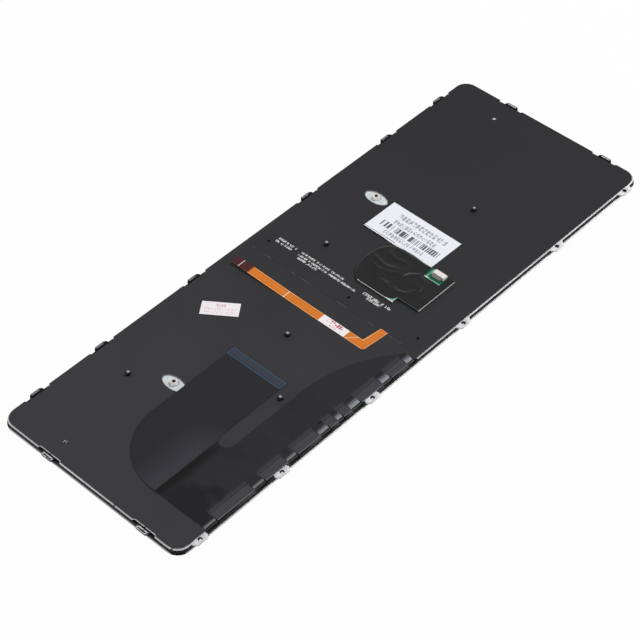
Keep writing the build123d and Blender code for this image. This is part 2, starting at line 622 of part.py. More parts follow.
def inspection_sticker():
    note = slab(Rectangle(NOTE_L, NOTE_W), BACK_Z, BACK_Z + STICKER_T)
    return Pos(NOTE_X, REAR - NOTE_FROM_REAR) * Rot(0, 0, NOTE_ANGLE) * note


def screw_bosses():
    """Oval nut plates on the base plate, each with a threaded boss."""
    bosses = []
    outlines = zip(nut_outlines(-NUT_CLEAR), small_discs(NUTS, BOSS_R), discs(NUTS, BOSS_BORE_R))
    for oval, boss, bore in outlines:
        nut = slab(oval - bore, GUIDE_Z, GUIDE_Z + NUT_T)
        bosses.append(nut + slab(boss - bore, GUIDE_Z, BACK_Z + BOSS_H))
    return bosses


def locating_pins():
    return [slab(Pos(x, y) * Rectangle(PIN_W, PIN_W), GUIDE_Z, BACK_Z + PIN_H) for x, y in PINS]


def cap_body(width, depth, height):
    """A closed cap with its top at z 0 and leaning sides."""
    grow = 2 * (height - KEY_H) * tan(radians(KEY_TAPER))
    foot = Rectangle(width + grow, depth + grow)
    return Pos(0, 0, height) * Rot(180, 0, 0) * extrude(foot, height, taper=KEY_TAPER)


def moving_key(key):
    """A hollow cap, cut back where it passes the pointing stick."""
    cap = Pos(key.x, key.y) * cap_body(key.width, key.depth, KEY_H)
    pocket = Pos(key.x, key.y) * Rectangle(key.width - 2 * SKIRT_T, key.depth - 2 * SKIRT_T)
    beside = STICK_RING_R + WINDOW_GAP
    if abs(key.x - STICK_X) < key.width / 2 + beside and abs(key.y - STICK_Y) < key.depth / 2 + beside:
        cap -= slab(stick_disc(beside), 0, KEY_H)
        pocket -= stick_disc(beside + SKIRT_T)
    return cap - slab(pocket, ROOF_T, KEY_H)


def fixed_key(key):
    """A key joined with the hinge that carries it, down to the membrane."""
    return Pos(key.x, key.y) * cap_body(key.width, key.depth, MEMBRANE_Z)


def link_pair():
    """A frame and, in its opening and leaning the other way, a fork."""
    room = MEMBRANE_Z - ROOF_T - 2 * LINK_CLEAR
    lean = degrees(asin((room - LINK_T) / LINK_L))
    fork_w = LINK_W - 2 * (LINK_BAR + LINK_GAP)
    frame = Rectangle(LINK_W, LINK_L) - Rectangle(LINK_W - 2 * LINK_BAR, LINK_L - 2 * LINK_BAR)
    fork = Rectangle(fork_w, LINK_L) - Pos(0, LINK_BAR) * Rectangle(fork_w - 2 * LINK_BAR, LINK_L)
    middle = Pos(0, 0, (MEMBRANE_Z + ROOF_T) / 2)
    tilted = ((frame, lean), (fork, -lean))
    return [middle * Rot(tilt, 0, 0) * extrude(link, LINK_T / 2, both=True) for link, tilt in tilted]


def scissor_links(keys):
    pair = link_pair()
    return [Pos(key.x, key.hinge_y) * frame for key in keys if key.moves for frame in pair]


def rubber_domes(keys):
    height = MEMBRANE_Z - ROOF_T - LINK_CLEAR
    lean = degrees(asin((DOME_FOOT_R - DOME_TOP_R) / height))
    foot = RegularPolygon(DOME_FOOT_R, 6)
    dome = Pos(0, 0, MEMBRANE_Z) * Rot(180, 0, 0) * extrude(foot, height, taper=lean)
    return [Pos(key.x, key.hinge_y) * dome for key in keys if key.moves]


def build():
    keys = key_places()
    nodes = {
        "key_frame": key_frame(keys),
        "base_plate": base_plate(),
        "light_guide": light_guide(),
        "back_film": back_film(),
        "membrane_circuit": membrane_circuit(),
        "ribbon_stiffener": ribbon_stiffener(),
        "backlight_cable": backlight_cable(),
        "backlight_leds": backlight_leds(),
        "cable_end_stiffener": cable_end_stiffener(),
        "cable_sticker": cable_sticker(),
        "strip_cover": strip_cover(),
        "stick_board": stick_board(),
        "board_connector": board_connector(),
        "connector_latch": connector_latch(),
        "board_tape": board_tape(),
        "stick_post": stick_post(),
        "stick_cap": stick_cap(),
        "barcode_label": barcode_label(),
        "inspection_sticker": inspection_sticker(),
        "screw_bosses": screw_bosses(),
        "locating_pins": locating_pins(),
        "scissor_links": scissor_links(keys),
        "rubber_domes": rubber_domes(keys),
    }
    for key in keys:
        if key.moves:
            nodes[key.node] = moving_key(key)
        else:
            nodes.setdefault(key.node, []).append(fixed_key(key))
    return nodes


def main():
    os.makedirs("parts", exist_ok=True)
    for name, shape in build().items():
        pieces = shape if isinstance(shape, list) else [shape]
        solids = [solid for piece in pieces for solid in piece.solids()]
        export_step(solids[0] if len(solids) == 1 else Compound(children=solids), f"parts/{name}.step")


main()
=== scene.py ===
import json
import math

import bmesh
import bpy
from bpy.props import FloatProperty, FloatVectorProperty, PointerProperty
from mathutils import Matrix, Vector, noise


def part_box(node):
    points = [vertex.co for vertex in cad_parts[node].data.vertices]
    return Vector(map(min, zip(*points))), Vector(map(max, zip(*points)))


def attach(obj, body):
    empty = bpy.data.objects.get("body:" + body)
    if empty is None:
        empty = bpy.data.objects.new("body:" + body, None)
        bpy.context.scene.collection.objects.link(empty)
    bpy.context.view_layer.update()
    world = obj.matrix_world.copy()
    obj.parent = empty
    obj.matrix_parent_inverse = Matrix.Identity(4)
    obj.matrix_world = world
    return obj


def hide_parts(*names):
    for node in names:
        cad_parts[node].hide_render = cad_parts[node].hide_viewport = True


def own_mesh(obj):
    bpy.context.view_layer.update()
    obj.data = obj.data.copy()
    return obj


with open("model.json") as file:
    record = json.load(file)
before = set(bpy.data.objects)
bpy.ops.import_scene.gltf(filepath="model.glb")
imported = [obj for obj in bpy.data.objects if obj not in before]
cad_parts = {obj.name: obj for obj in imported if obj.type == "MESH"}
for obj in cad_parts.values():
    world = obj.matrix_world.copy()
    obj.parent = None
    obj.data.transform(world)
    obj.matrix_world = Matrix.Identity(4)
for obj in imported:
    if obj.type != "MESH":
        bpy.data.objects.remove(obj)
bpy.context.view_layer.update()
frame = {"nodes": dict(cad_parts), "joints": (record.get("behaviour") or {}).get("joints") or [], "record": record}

bl_info = {
    "name": "Laptop keyboard, back side up",
    "version": (1, 0, 0),
    "blender": (4, 5, 0),
    "location": "3D View > Sidebar > Keyboard",
    "description": "Finishes, films, labels and small parts of a laptop replacement keyboard",
    "category": "Object",
}

# The script's lengths are millimetres in the part's own frame; MM turns them into Blender's metres
MM = 0.001
BOARD_BODY = "board"


def srgb(red, green, blue):
    """A colour as seen on a screen, 0 to 255, as the linear colour that shaders take."""
    def linear(value):
        value /= 255
        return value / 12.92 if value <= 0.04045 else ((value + 0.055) / 1.055) ** 2.4
    return linear(red), linear(green), linear(blue)


def box_mm(node):
    """A node's lowest and highest corners, in millimetres."""
    low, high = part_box(node)
    return low / MM, high / MM


# Places that the pieces share, read from the frame
PLATE_LOW, PLATE_HIGH = box_mm("base_plate")
FILM_LOW, FILM_HIGH = box_mm("back_film")
BOARD_LOW, BOARD_HIGH = box_mm("stick_board")
TAPE_LOW, TAPE_HIGH = box_mm("board_tape")
LABEL_LOW, LABEL_HIGH = box_mm("barcode_label")
COVER_LOW, COVER_HIGH = box_mm("strip_cover")
STIFFENER_LOW, STIFFENER_HIGH = box_mm("ribbon_stiffener")
MEMBRANE_LOW, MEMBRANE_HIGH = box_mm("membrane_circuit")
CABLE_LOW = box_mm("backlight_cable")[0]
CABLE_END_LOW, CABLE_END_HIGH = box_mm("cable_end_stiffener")
CABLE_STICKER_LOW, CABLE_STICKER_HIGH = box_mm("cable_sticker")
FRAME_LOW = box_mm("key_frame")[0]
LATCH_LOW, LATCH_HIGH = box_mm("connector_latch")
CONNECTOR_LOW, CONNECTOR_HIGH = box_mm("board_connector")
NOTE_LOW, NOTE_HIGH = box_mm("inspection_sticker")
BACK_Z = FILM_HIGH.z
RIM_TOP = FRAME_LOW.z + 0.7
# Between these two x the frame's rim goes from its painted-shade tone at the left end to pale.
RIM_SHADE_FADE = (-130.0, -90.0)

# How far the screw ears reach out of the front edge, half their width, and what lies along the edges
EAR_OUT, EAR_HALF = 2.4, 3.9
EDGE_NICKS = (24.4, -16.5, -34.3, -50.6)
SIDE_HOOKS = (24.4, -34.3)
COVER_HOLES = [(2.5, 46.5), (0.4, -6.7), (2.3, -46.9)]
EAR_HOLES = [(x, PLATE_LOW.y + 1.9) for x in (-142.8, -94.3, -37.4, 23.8, 91.2, 143.1)]
FRONT = PLATE_LOW.y + EAR_OUT
MOUNTS = {mount["name"]: Vector(mount["pos_m"]) / MM for mount in frame["record"]["mounts"]}
JOINTS = {joint["child"]: joint["name"] for joint in frame["joints"]}


class Value:
    """A socket of a material's tree. Python's operators on it add Math nodes."""

    def __init__(self, surface, socket):
        self.surface = surface
        self.socket = socket

    def _math(self, operation, *terms):
        return self.surface.node("ShaderNodeMath", {"operation": operation}, terms)

    def __add__(self, other):
        return self._math("ADD", self, other)

    def __sub__(self, other):
        return self._math("SUBTRACT", self, other)

    def __rsub__(self, other):
        return self._math("SUBTRACT", other, self)

    def __mul__(self, other):
        return self._math("MULTIPLY", self, other)

    def __truediv__(self, other):
        return self._math("DIVIDE", self, other)

    def __mod__(self, other):
        return self._math("FLOORED_MODULO", self, other)

    def __gt__(self, other):
        return self._math("GREATER_THAN", self, other)

    def __lt__(self, other):
        return self._math("LESS_THAN", self, other)

    def __abs__(self):
        return self._math("ABSOLUTE", self)

    def floor(self):
        return self._math("FLOOR", self)

    def root(self):
        return self._math("SQRT", self)

    def largest(self, other):
        return self._math("MAXIMUM", self, other)

    def smallest(self, other):
        return self._math("MINIMUM", self, other)

    __radd__ = __add__
    __rmul__ = __mul__


class Tree:
    """A node tree that is built up from values."""

    def __init__(self, tree):
        self.tree = tree

    def node(self, kind, settings=None, inputs=(), out=0):
        """Adds a node with its settings, fills its sockets by order or name, and gives one output."""
        made = self.tree.nodes.new(kind)
        for name, value in (settings or {}).items():
            setattr(made, name, value)
        pairs = inputs.items() if isinstance(inputs, dict) else enumerate(inputs)
        for key, value in pairs:
            if isinstance(value, Value):
                self.tree.links.new(value.socket, made.inputs[key])
            else:
                made.inputs[key].default_value = value
        return Value(self, made.outputs[out])

    def parts(self, vector):
        """The three numbers of a vector."""
        return [self.node("ShaderNodeSeparateXYZ", None, [vector], out) for out in range(3)]

    def ramp(self, value, low, high, first=0.0, last=1.0):
        """A soft step from first to last as the value goes from low to high."""
        settings = {"interpolation_type": "SMOOTHSTEP", "clamp": True}
        return self.node("ShaderNodeMapRange", settings, [value, low, high, first, last])

    def output(self, kind, shader):
        """Sends a shader to the tree's output node."""
        end = next(n for n in self.tree.nodes if n.bl_idname == kind)
        self.tree.links.new(shader.socket, end.inputs["Surface"])


class Surface(Tree):
    """A material with one Principled shader."""

    def __init__(self, name):
        self.material = bpy.data.materials.new(name)
        self.material.use_nodes = True
        super().__init__(self.material.node_tree)
        self.shader = self.tree.nodes["Principled BSDF"]
        place = self.node("ShaderNodeTexCoord", out="Object")
        inputs = {"Vector": place, "Scale": 1 / MM}
        self.mm = self.node("ShaderNodeVectorMath", {"operation": "SCALE"}, inputs)

    def axes(self):
        """The place on the part, as three lengths in millimetres."""
        return self.parts(self.mm)

    def upward(self):
        """1 where the surface faces the back's side, 0 where it stands upright."""
        return self.parts(self.node("ShaderNodeNewGeometry", out="True Normal"))[2]

    def stretched(self, x, y, z):
        """The place with each axis drawn out by its own number."""
        return self.node("ShaderNodeVectorMath", {"operation": "MULTIPLY"}, [self.mm, (x, y, z)])

    def noise(self, grain, detail=3.0, place=None):
        """Cloudy values from 0 to 1 whose spots are about the given number of millimetres across."""
        inputs = {"Vector": place or self.mm, "Scale": 1 / grain, "Detail": detail}
        return self.node("ShaderNodeTexNoise", None, inputs)

    def chance(self, number):
        """A value from 0 to 1 that differs from one whole number to the next."""
        return self.node("ShaderNodeTexWhiteNoise", {"noise_dimensions": "1D"}, {"W": number})

    def band(self, value, low, high, soft):
        """1 between two values, with soft ends."""
        rise = self.ramp(value, low - soft, low + soft)
        return rise * self.ramp(value, high - soft, high + soft, 1.0, 0.0)

    def away(self, places):
        """Distance in plan from the nearest of some points, in millimetres."""
        x, y, _ = self.axes()
        squares = [(x - px) * (x - px) + (y - py) * (y - py) for px, py in places]
        nearest = squares[0]
        for square in squares[1:]:
            nearest = nearest.smallest(square)
        return nearest.root()

    def mix(self, share, first, second):
        """Between two colours."""
        ends = [colour if isinstance(colour, Value) else (*colour, 1.0) for colour in (first, second)]
        return self.node("ShaderNodeMix", {"data_type": "RGBA"}, {0: share, 6: ends[0], 7: ends[1]}, out=2)

    def bump(self, height, rise):
        """A relief of the given rise in millimetres."""
        inputs = {"Strength": 1.0, "Distance": rise * MM, "Height": height}
        return self.node("ShaderNodeBump", None, inputs)

    def finish(self, **sockets):
        """Fills the shader's sockets by name and gives the material."""
        for name, value in sockets.items():
            socket = self.shader.inputs[name.replace("_", " ").title().replace("Ior", "IOR")]
            if isinstance(value, Value):
                self.tree.links.new(value.socket, socket)
            else:
                socket.default_value = (*value, 1.0) if isinstance(value, tuple) else value
        return self.material


def colours():
    """The colours that a user would change."""
    return bpy.context.scene.keyboard_colours


def detail():
    """The sizes and strengths that a user would change."""
    return bpy.context.scene.keyboard_detail


def stage_settings():
    """The floor, the lamps and the camera."""
    return bpy.context.scene.keyboard_stage


def scaled(colour, share):
    """A colour made lighter or darker."""
    return tuple(value * share for value in colour)


# Printed rows of dashes on the cover film: place from its right edge, both ends and height
DASH_PITCH = 0.62
COVER_ROWS = ((1.7, 32.6, 44.2, 1.3), (3.7, 34.4, 44.3, 1.3), (1.7, 3.0, 30.2, 1.2), (3.8, -6.0, 29.7, 1.2),
              (5.6, 16.6, 29.8, 1.2), (1.9, -26.5, -9.6, 1.6), (3.5, -21.7, -13.1, 1.5))


# Finishes

def film_finish(name, colour, print_rows=(), spots=()):
    """Matt dark film, painted paler at its left end and darker towards its right as painted shade, and paler
    between the tongues; painted highlights on its cut edges and painted shade in the spots where given; dashes
    where given.
    """
    s = Surface(name)
    x, y, _ = s.axes()
    # Painted shade: the film is painted paler at its left end and darker towards its right.
    base = s.mix(s.ramp(x, PLATE_LOW.x, PLATE_HIGH.x), scaled(colour, 1.14), scaled(colour, 0.52))
    base = s.mix(s.ramp(s.noise(30.0, 2.0), 0.35, 0.65) * 0.14, base, scaled(colour, 0.5))
    dust = s.ramp(s.noise(0.9, 0.0), 0.80, 0.84)
    base = s.mix(dust * 0.05, base, srgb(150, 150, 152))
    pads = s.band(x, RIBBON_X0, BAND_END, 0.5) * s.ramp(y, BAND_Y0 - 1.0, BAND_Y0, 1.0, 0.0)
    base = s.mix(pads * 0.85, base, scaled(colour, PAD_TONE))
    # Painted highlight: a thin pale line along the film's cut front edge between the tongues.
    cut_edge_highlight = pads * s.ramp(y, FILM_LOW.y + 0.25, FILM_LOW.y + 0.45, 0.7, 0.0)
    base = s.mix(cut_edge_highlight, base, srgb(126, 126, 132))
    if spots:
        # Painted shade: near black in and under the cover's holes.
        base = s.mix(s.ramp(s.away(spots), 0.75, 0.95, 0.95, 0.0), base, srgb(6, 6, 6))
    for row_x, y0, y1, height in print_rows:
        dash = y / DASH_PITCH
        ink = (s.chance(dash.floor() + row_x * 17) > 0.2) * (dash % 1.0 > 0.12)
        serif = s.chance((y / (DASH_PITCH / 2)).floor() + (x / 0.35).floor() * 57) > 0.34
        row = s.band(x, row_x - height / 2, row_x + height / 2, 0.05) * s.band(y, y0, y1, 0.05)
        base = s.mix(row * ink * serif * 0.9, base, srgb(232, 232, 233))
    if print_rows:
        # Painted highlight: a broken pale line along the cover's left cut edge.
        cut = s.band(x, COVER_LOW.x - 0.1, COVER_LOW.x + 0.22, 0.08) * s.ramp(s.noise(6.0), 0.45, 0.6)
        base = s.mix(cut * 0.4, base, srgb(140, 140, 142))
    rough = s.noise(7.0) * 0.08 + 0.46
    relief = s.noise(0.22, 1.0) * 0.6 + s.noise(60.0, 1.0) * 18.0
    return s.finish(base_color=base, roughness=rough, specular_ior_level=0.22,
                    normal=s.bump(relief, 0.012))


def moulded_finish(name, colour, rough, grain, rise):
    """Moulded plastic with a fine spark-eroded grain."""
    s = Surface(name)
    base = s.mix(s.noise(9.0) * 0.6, colour, scaled(colour, 0.75))
    wear_and_highlight = s.noise(3.0) * 0.12 + (rough - 0.06)
    return s.finish(base_color=base, roughness=wear_and_highlight, normal=s.bump(s.noise(grain, 2.0), rise))


def frame_finish():
    """Black moulding with a pale outer rim, painted darker at its left end as painted shade; painted highlights on
    its left side hooks and rear hooks, and painted light in the slots of its right side hooks.
    """
    s = Surface("frame_moulding")
    c = colours()
    x, y, z = s.axes()
    outside = (abs(x) > PLATE_HIGH.x + 0.1).largest(y < FRONT - 0.1)
    rim = s.ramp(z, RIM_TOP + 0.05, RIM_TOP + 0.1, 1.0, 0.0) * outside
    near = sum((s.ramp(abs(y - at), 2.2, 3.6, 1.0, 0.0) for at in SIDE_HOOKS), 0.0) * (z > RIM_TOP + 0.3)
    top = s.upward() > 0.5
    left = near * (x < PLATE_LOW.x + 0.2) * top
    right = (near > 0.5) * s.band(x, PLATE_HIGH.x + 0.4, PLATE_HIGH.x + 1.2, 0.04) * (s.upward() < 0.5)
    rear = y > PLATE_HIGH.y + 1.0
    base = s.mix(s.noise(8.0) * 0.5, c.frame, scaled(c.frame, 0.6))
    # Painted shade: the pale rim is painted darker towards its left end.
    base = s.mix(rim, base, s.mix(s.ramp(x, *RIM_SHADE_FADE), c.rim, srgb(234, 234, 236)))
    # Painted highlight on the tops of the left side hooks, broken by soft darker patches.
    hook_highlight = s.mix(s.ramp(s.noise(1.6), 0.42, 0.58), srgb(150, 150, 154), srgb(216, 216, 220))
    base = s.mix(left, base, hook_highlight)
    # Painted light: the inner walls of the right hooks' slots are painted pale where light shows through them.
    base = s.mix(right, base, srgb(226, 226, 228))
    # Painted highlight on the rear hooks' outer bars.
    base = s.mix(rear * 0.9, base, srgb(164, 164, 167))
    rough = s.noise(3.0) * 0.15 + 0.36
    return s.finish(base_color=base, roughness=rough, specular_ior_level=0.14,
                    normal=s.bump(s.noise(0.18), 0.003))


def steel_finish():
    """Pale rolled sheet, black on its cut edges; beside the ribbon's tongues black film covers it too. Painted
    shade greys the ears' cut edges and darkens their holes.
    """
    s = Surface("bright_steel")
    c = colours()
    x, y, _ = s.axes()
    rolled = s.noise(4.0, 2.0, s.stretched(0.3, 1.0, 1.0))
    beside = sum((s.band(x, ear_x - EAR_HALF, ear_x + EAR_HALF, 0.2) for ear_x, _ in EAR_HOLES), 0.0)
    ears = (y < FRONT - 0.3).largest(beside * (y < FRONT + 1.0))
    upright = abs(s.upward()) < 0.8
    nicks = (x < 0) * sum((s.band(y, at - 0.35, at + 0.35, 0.1) for at in EDGE_NICKS), 0.0)
    covered = s.band(x, RIBBON_X0 - 1.0, BAND_END + 1.5, 0.3) * (y < FRONT + 5.0)
    covered = covered.largest(upright).largest(nicks) * (1 - ears)
    base = s.mix(rolled * 0.4, c.steel, scaled(c.steel, 0.72))
    # Painted shade on the ears' cut edges.
    base = s.mix(upright * ears * 0.4, base, srgb(118, 118, 122))
    # Painted shade: a dark ring in and round each ear's hole.
    base = s.mix(s.ramp(s.away(EAR_HOLES), 1.0, 1.25, 0.95, 0.0), base, srgb(34, 34, 36))
    base = s.mix(covered, base, c.ribbon_low)
    return s.finish(base_color=base, roughness=rolled * 0.1 + 0.45, metallic=0.1 - covered * 0.1,
                    specular_ior_level=0.3)


def plated_finish():
    """Pale plated steel of the nut plates: a few stains, and bright bosses, with painted shade round their feet
    and in their bores.
    """
    s = Surface("nut_plating")
    c = colours()
    x, y, _ = s.axes()
    places = [MOUNTS[name].xy for name in BOSSES]
    from_boss = s.away(places)
    ovals = [((x - at.x + 0.4) / NUT_HALF[0], (y - at.y + 0.4) / NUT_HALF[1]) for at in places]
    first, second = [across * across + along * along for across, along in ovals]
    far_rim = s.ramp(first.smallest(second), 0.9, 1.0)
    boss = s.ramp(from_boss, BOSS_R + 0.02, BOSS_R + 0.14, 1.0, 0.0)
    foot = s.band(from_boss, BOSS_R + 0.1, BOSS_R + 0.7, 0.2)
    stains = s.ramp(s.noise(2.4, 3.0), 0.5, 0.75)
    base = s.mix(stains * 0.3, c.nut, srgb(160, 172, 178))
    base = s.mix(far_rim * 0.8, base, srgb(98, 97, 101))
    # Painted shade: a darker ring round the foot of each boss.
    base = s.mix(foot * 0.55, base, srgb(112, 118, 118))
    base = s.mix(boss, base, srgb(252, 248, 242))
    # Painted shade in each boss's bore.
    base = s.mix(s.ramp(from_boss, BOSS_BORE_R, BOSS_BORE_R + 0.2, 1.0, 0.0), base, srgb(26, 24, 20))
    return s.finish(base_color=base, roughness=0.4 - boss * 0.15, metallic=boss * 0.2 + 0.05,
                    normal=s.bump(s.noise(0.6, 2.0), 0.004))


def ribbon_finish():
    """Black printed film: a painted reflection lightens it above the crease, painted shade darkens it below, and
    painted highlights lie where the tongues bend and along its edge over the pads.
    """
    s = Surface("ribbon_black_film")
    c = colours()
    x, y, z = s.axes()
    below = s.ramp(y, CREASE_Y - 0.15, CREASE_Y + 0.15, 1.0, 0.0)
    left = s.ramp(x, SLOT_X - 16.0, SLOT_X + 8.0, 1.0, 0.0)
    # Painted reflection: the film is painted lighter just above the crease, fading away from it and towards the
    # right.
    painted_reflection = s.ramp(y, CREASE_Y, CREASE_Y + 20.0, 1.0, 0.0) * left
    above = s.mix(painted_reflection, c.ribbon, scaled(c.ribbon, 2.0))
    # Painted shade below the crease: a dark band along it towards the left, and soft dark patches of painted
    # reflection that fade to the right.
    dark_reflections = s.ramp(s.noise(15.0, 2.0, s.stretched(1.0, 0.5, 1.0)), 0.5, 0.62)
    dark_reflections = dark_reflections * s.ramp(x, RIBBON_X0 + 20.0, SLOT_X + 6.0, 0.6, 0.1)
    shade = (s.ramp(y, CREASE_Y - 7.0, CREASE_Y - 1.5) * left * 0.9).largest(dark_reflections)
    low = s.mix(shade, scaled(c.ribbon, 1.2), c.ribbon_low)
    base = s.mix(below, above, low)
    scuffs = s.ramp(s.noise(0.35, 2.0, s.stretched(1.0, 0.08, 1.0)), 0.74, 0.8)
    base = s.mix(scuffs * 0.08, base, srgb(120, 120, 122))
    # Painted highlight where the tongues bend over the front edge, greyer towards the left.
    reach = s.ramp(x, SLOT_X, BAND_END - 30.0, FRONT + 3.2, FRONT + 5.4)
    sheen = s.ramp((reach - y) / (reach - FRONT - 2.0), 0.0, 1.0, 0.0, 0.9) * (y > FRONT + 1.7)
    sheen = sheen * (z > BACK_Z - 0.6)
    tongues = sum((s.band(x, x0, x1, 0.3) for x0, x1 in TONGUES), 0.0)
    # Painted reflection: between the tongues the ribbon is painted paler towards the pads, where it bends down
    # onto them.
    lap = s.ramp(y, BAND_Y0, BAND_Y0 + 2.4, 0.9, 0.0) * (1 - tongues)
    base = s.mix(lap, base, scaled(c.film, PAD_TONE * 0.9))
    # Painted light on the ribbon's cut edge over the pads, which hides its shadow line.
    lip = (s.upward() < 0.5) * (y < BAND_Y0 + 0.05) * (1 - tongues) * (z > BACK_Z - 0.1)
    base = s.mix(lip, base, scaled(c.film, PAD_TONE * 2))
    gleam = s.mix(s.ramp(x, SLOT_X, BAND_END - 30.0), srgb(128, 128, 131), c.sheen)
    base = s.mix(sheen, base, gleam)
    rough = 0.3 - below * 0.06 + s.ramp(s.noise(4.0, 4.0), 0.5, 0.75) * 0.06
    relief = s.noise(14.0, 2.0) * 6.0 + s.noise(0.5) * 0.2
    return s.finish(base_color=base, roughness=rough, specular_ior_level=0.4, normal=s.bump(relief, 0.02))


def rim_distance(s, low, high):
    """Distance from the nearest side of an upright box, in millimetres."""
    x, y, _ = s.axes()
    return (x - low.x).smallest(high.x - x).smallest((y - low.y).smallest(high.y - y))


def blue_film_finish():
    """Dark blue stiffener, bright where its cut edges catch the light."""
    s = Surface("blue_stiffener_film")
    c = colours()
    x, y, _ = s.axes()
    edge = s.ramp(rim_distance(s, STIFFENER_LOW, STIFFENER_HIGH), 0.02, 0.28, 1.0, 0.0)
    fingers = ((y / 0.5) % 1.0 > 0.5) * s.band(x, STIFFENER_LOW.x + 1.2, STIFFENER_HIGH.x - 0.3, 0.1)
    base = s.mix(fingers * 0.3, c.blue_film, srgb(76, 82, 92))
    base = s.mix(edge * 0.8, base, c.blue_edge)
    return s.finish(base_color=base, roughness=s.noise(2.0) * 0.1 + 0.2, specular_ior_level=0.4)


def cable_finish():
    """Orange film over copper traces that follow its turn, with white fold marks across it."""
    s = Surface("orange_circuit_film")
    c = colours()
    x, y, z = s.axes()
    from_front = y - CABLE_RUN_Y - (CABLE_LOW.x + CABLE_REACH - x) * (CABLE_SLANT / CABLE_REACH)
    outer = (x - CABLE_LOW.x).smallest(from_front)
    inner = (CABLE_LOW.x + CABLE_WIDTH - x).largest(CABLE_RUN_W - from_front)
    edge = outer.smallest(inner)
    grooves = s.ramp(abs((outer / 0.6) % 1.0 - 0.5), 0.38, 0.46) * 0.35 * (edge > 1)
    lines = s.band(edge, 0.85, 1.1, 0.08).largest(grooves)
    base = s.mix(s.noise(6.0) * 0.3, c.orange, scaled(c.orange, 0.8))
    base = s.mix(lines * 0.5, base, c.orange_trace)
    base = s.mix(s.ramp(edge, 0.1, 0.55, 0.8, 0.0), base, srgb(244, 178, 118))
    leg = x < CABLE_LOW.x + CABLE_WIDTH
    slant = x - CABLE_LOW.x + y
    marks = s.band(y, CROSS_MARK, CROSS_MARK + 0.45, 0.06)
    marks = marks + s.band(slant, SLANT_MARK, SLANT_MARK + 0.4, 0.06)
    base = s.mix(marks * leg, base, srgb(246, 226, 206))
    base = s.mix(z < BACK_Z - 0.05, base, srgb(236, 236, 232))
    # Painted shade under the cover's holes.
    base = s.mix(s.ramp(s.away(COVER_HOLES), 0.9, 1.1, 1.0, 0.0), base, srgb(6, 6, 6))
    rough = s.noise(2.5) * 0.12 + 0.3
    return s.finish(base_color=base, roughness=rough, specular_ior_level=0.35,
                    normal=s.bump(lines * -1.0, 0.03))


def cable_end_finish():
    """Dark red stiffener with one white line."""
    s = Surface("dark_red_stiffener")
    c = colours()
    _, y, _ = s.axes()
    line = s.band(y, CABLE_END_HIGH.y - 4.4, CABLE_END_HIGH.y - 4.0, 0.06)
    fade = s.ramp(y, CABLE_END_LOW.y, CABLE_END_LOW.y + 1.2, 1.0, 0.0)
    base = s.mix(s.noise(1.5) * 0.4, c.red_film, scaled(c.red_film, 0.7))
    base = s.mix(fade * 0.5, base, c.orange_trace)
    base = s.mix(line, base, srgb(226, 214, 214))
    return s.finish(base_color=base, roughness=s.noise(1.0) * 0.1 + 0.25, specular_ior_level=0.35)


def paper(s, colour):
    """Pale paper with faint fibres and faint grubby grey clouds."""
    fibres = s.noise(0.5, 4.0)
    base = s.mix(fibres * 0.10, colour, scaled(colour, 0.85))
    return s.mix(s.ramp(s.noise(11.0), 0.55, 0.75) * 0.08, base, srgb(205, 205, 212))


def label_finish():
    """White label with a strip of bars and rows of plain grey dashes beside it."""
    s = Surface("bar_label_paper")
    c = colours()
    x, y, _ = s.axes()
    base = paper(s, c.label)
    x0, y0, y1 = LABEL_LOW.x, LABEL_LOW.y, LABEL_HIGH.y
    bars = (s.chance((y / 0.36).floor()) > 0.46) * s.band(x, x0 + 6.3, x0 + 10.1, 0.04)
    base = s.mix(bars * s.band(y, y0 + 2.4, y1 - 4.6, 0.02) * 0.88, base, c.ink)
    for row_x, first, last, size in LABEL_ROWS:
        cell = y / (size * 0.66)
        across = (x - x0 - row_x) / size
        stroke = s.chance((cell * 3).floor() + (across * 4).floor() * 37 + row_x * 101) > 0.3
        gap = (cell % 1.0) < 0.72
        row = s.band(across, -0.5, 0.5, 0.02) * s.band(y, y0 + first, y1 - last, 0.05)
        base = s.mix(row * stroke * gap * 0.55, base, c.ink)
    # Painted shade: a dark line on the label where its left edge lifts.
    lifted = s.band(x - (y - y1) * math.tan(LABEL_TURN), x0 + 1.0, x0 + 1.5, 0.1) * (y > y1 - 19.0)
    base = s.mix(lifted * 0.8, base, srgb(70, 70, 80))
    return s.finish(base_color=base, roughness=s.noise(1.0) * 0.1 + 0.42, specular_ior_level=0.35,
                    normal=s.bump(s.noise(0.4), 0.004))


def sticker_finish(name, ink, along, across, centre, size, rows):
    """White sticker with rows of faint coloured dashes; along and across are its own directions."""
    s = Surface(name)
    c = colours()
    x, y, _ = s.axes()
    u = (x - centre[0]) * along[0] + (y - centre[1]) * along[1]
    v = (x - centre[0]) * across[0] + (y - centre[1]) * across[1]
    base = paper(s, c.sticker)
    base = s.mix(0.03, base, ink)
    for row_v, length, height, weight in rows:
        cell = u / (height * 0.6)
        stroke = s.chance(cell.floor() * 5 + ((v - row_v) / height * 3).floor() * 13 + row_v * 71) > 0.4
        gap = (cell % 1.0) > 0.22
        row = s.band(v, row_v - height / 2, row_v + height / 2, 0.03)
        row = row * s.band(u, -length / 2, length / 2, 0.05)
        base = s.mix(row * stroke * gap * weight, base, ink)
    edge = (size[0] / 2 - abs(u)).smallest(size[1] / 2 - abs(v))
    base = s.mix(s.ramp(edge, 0.1, 0.5, 1.0, 0.0), base, c.sticker)
    return s.finish(base_color=base, roughness=s.noise(1.0) * 0.1 + 0.4, specular_ior_level=0.35,
                    normal=s.bump(s.noise(0.5), 0.005))


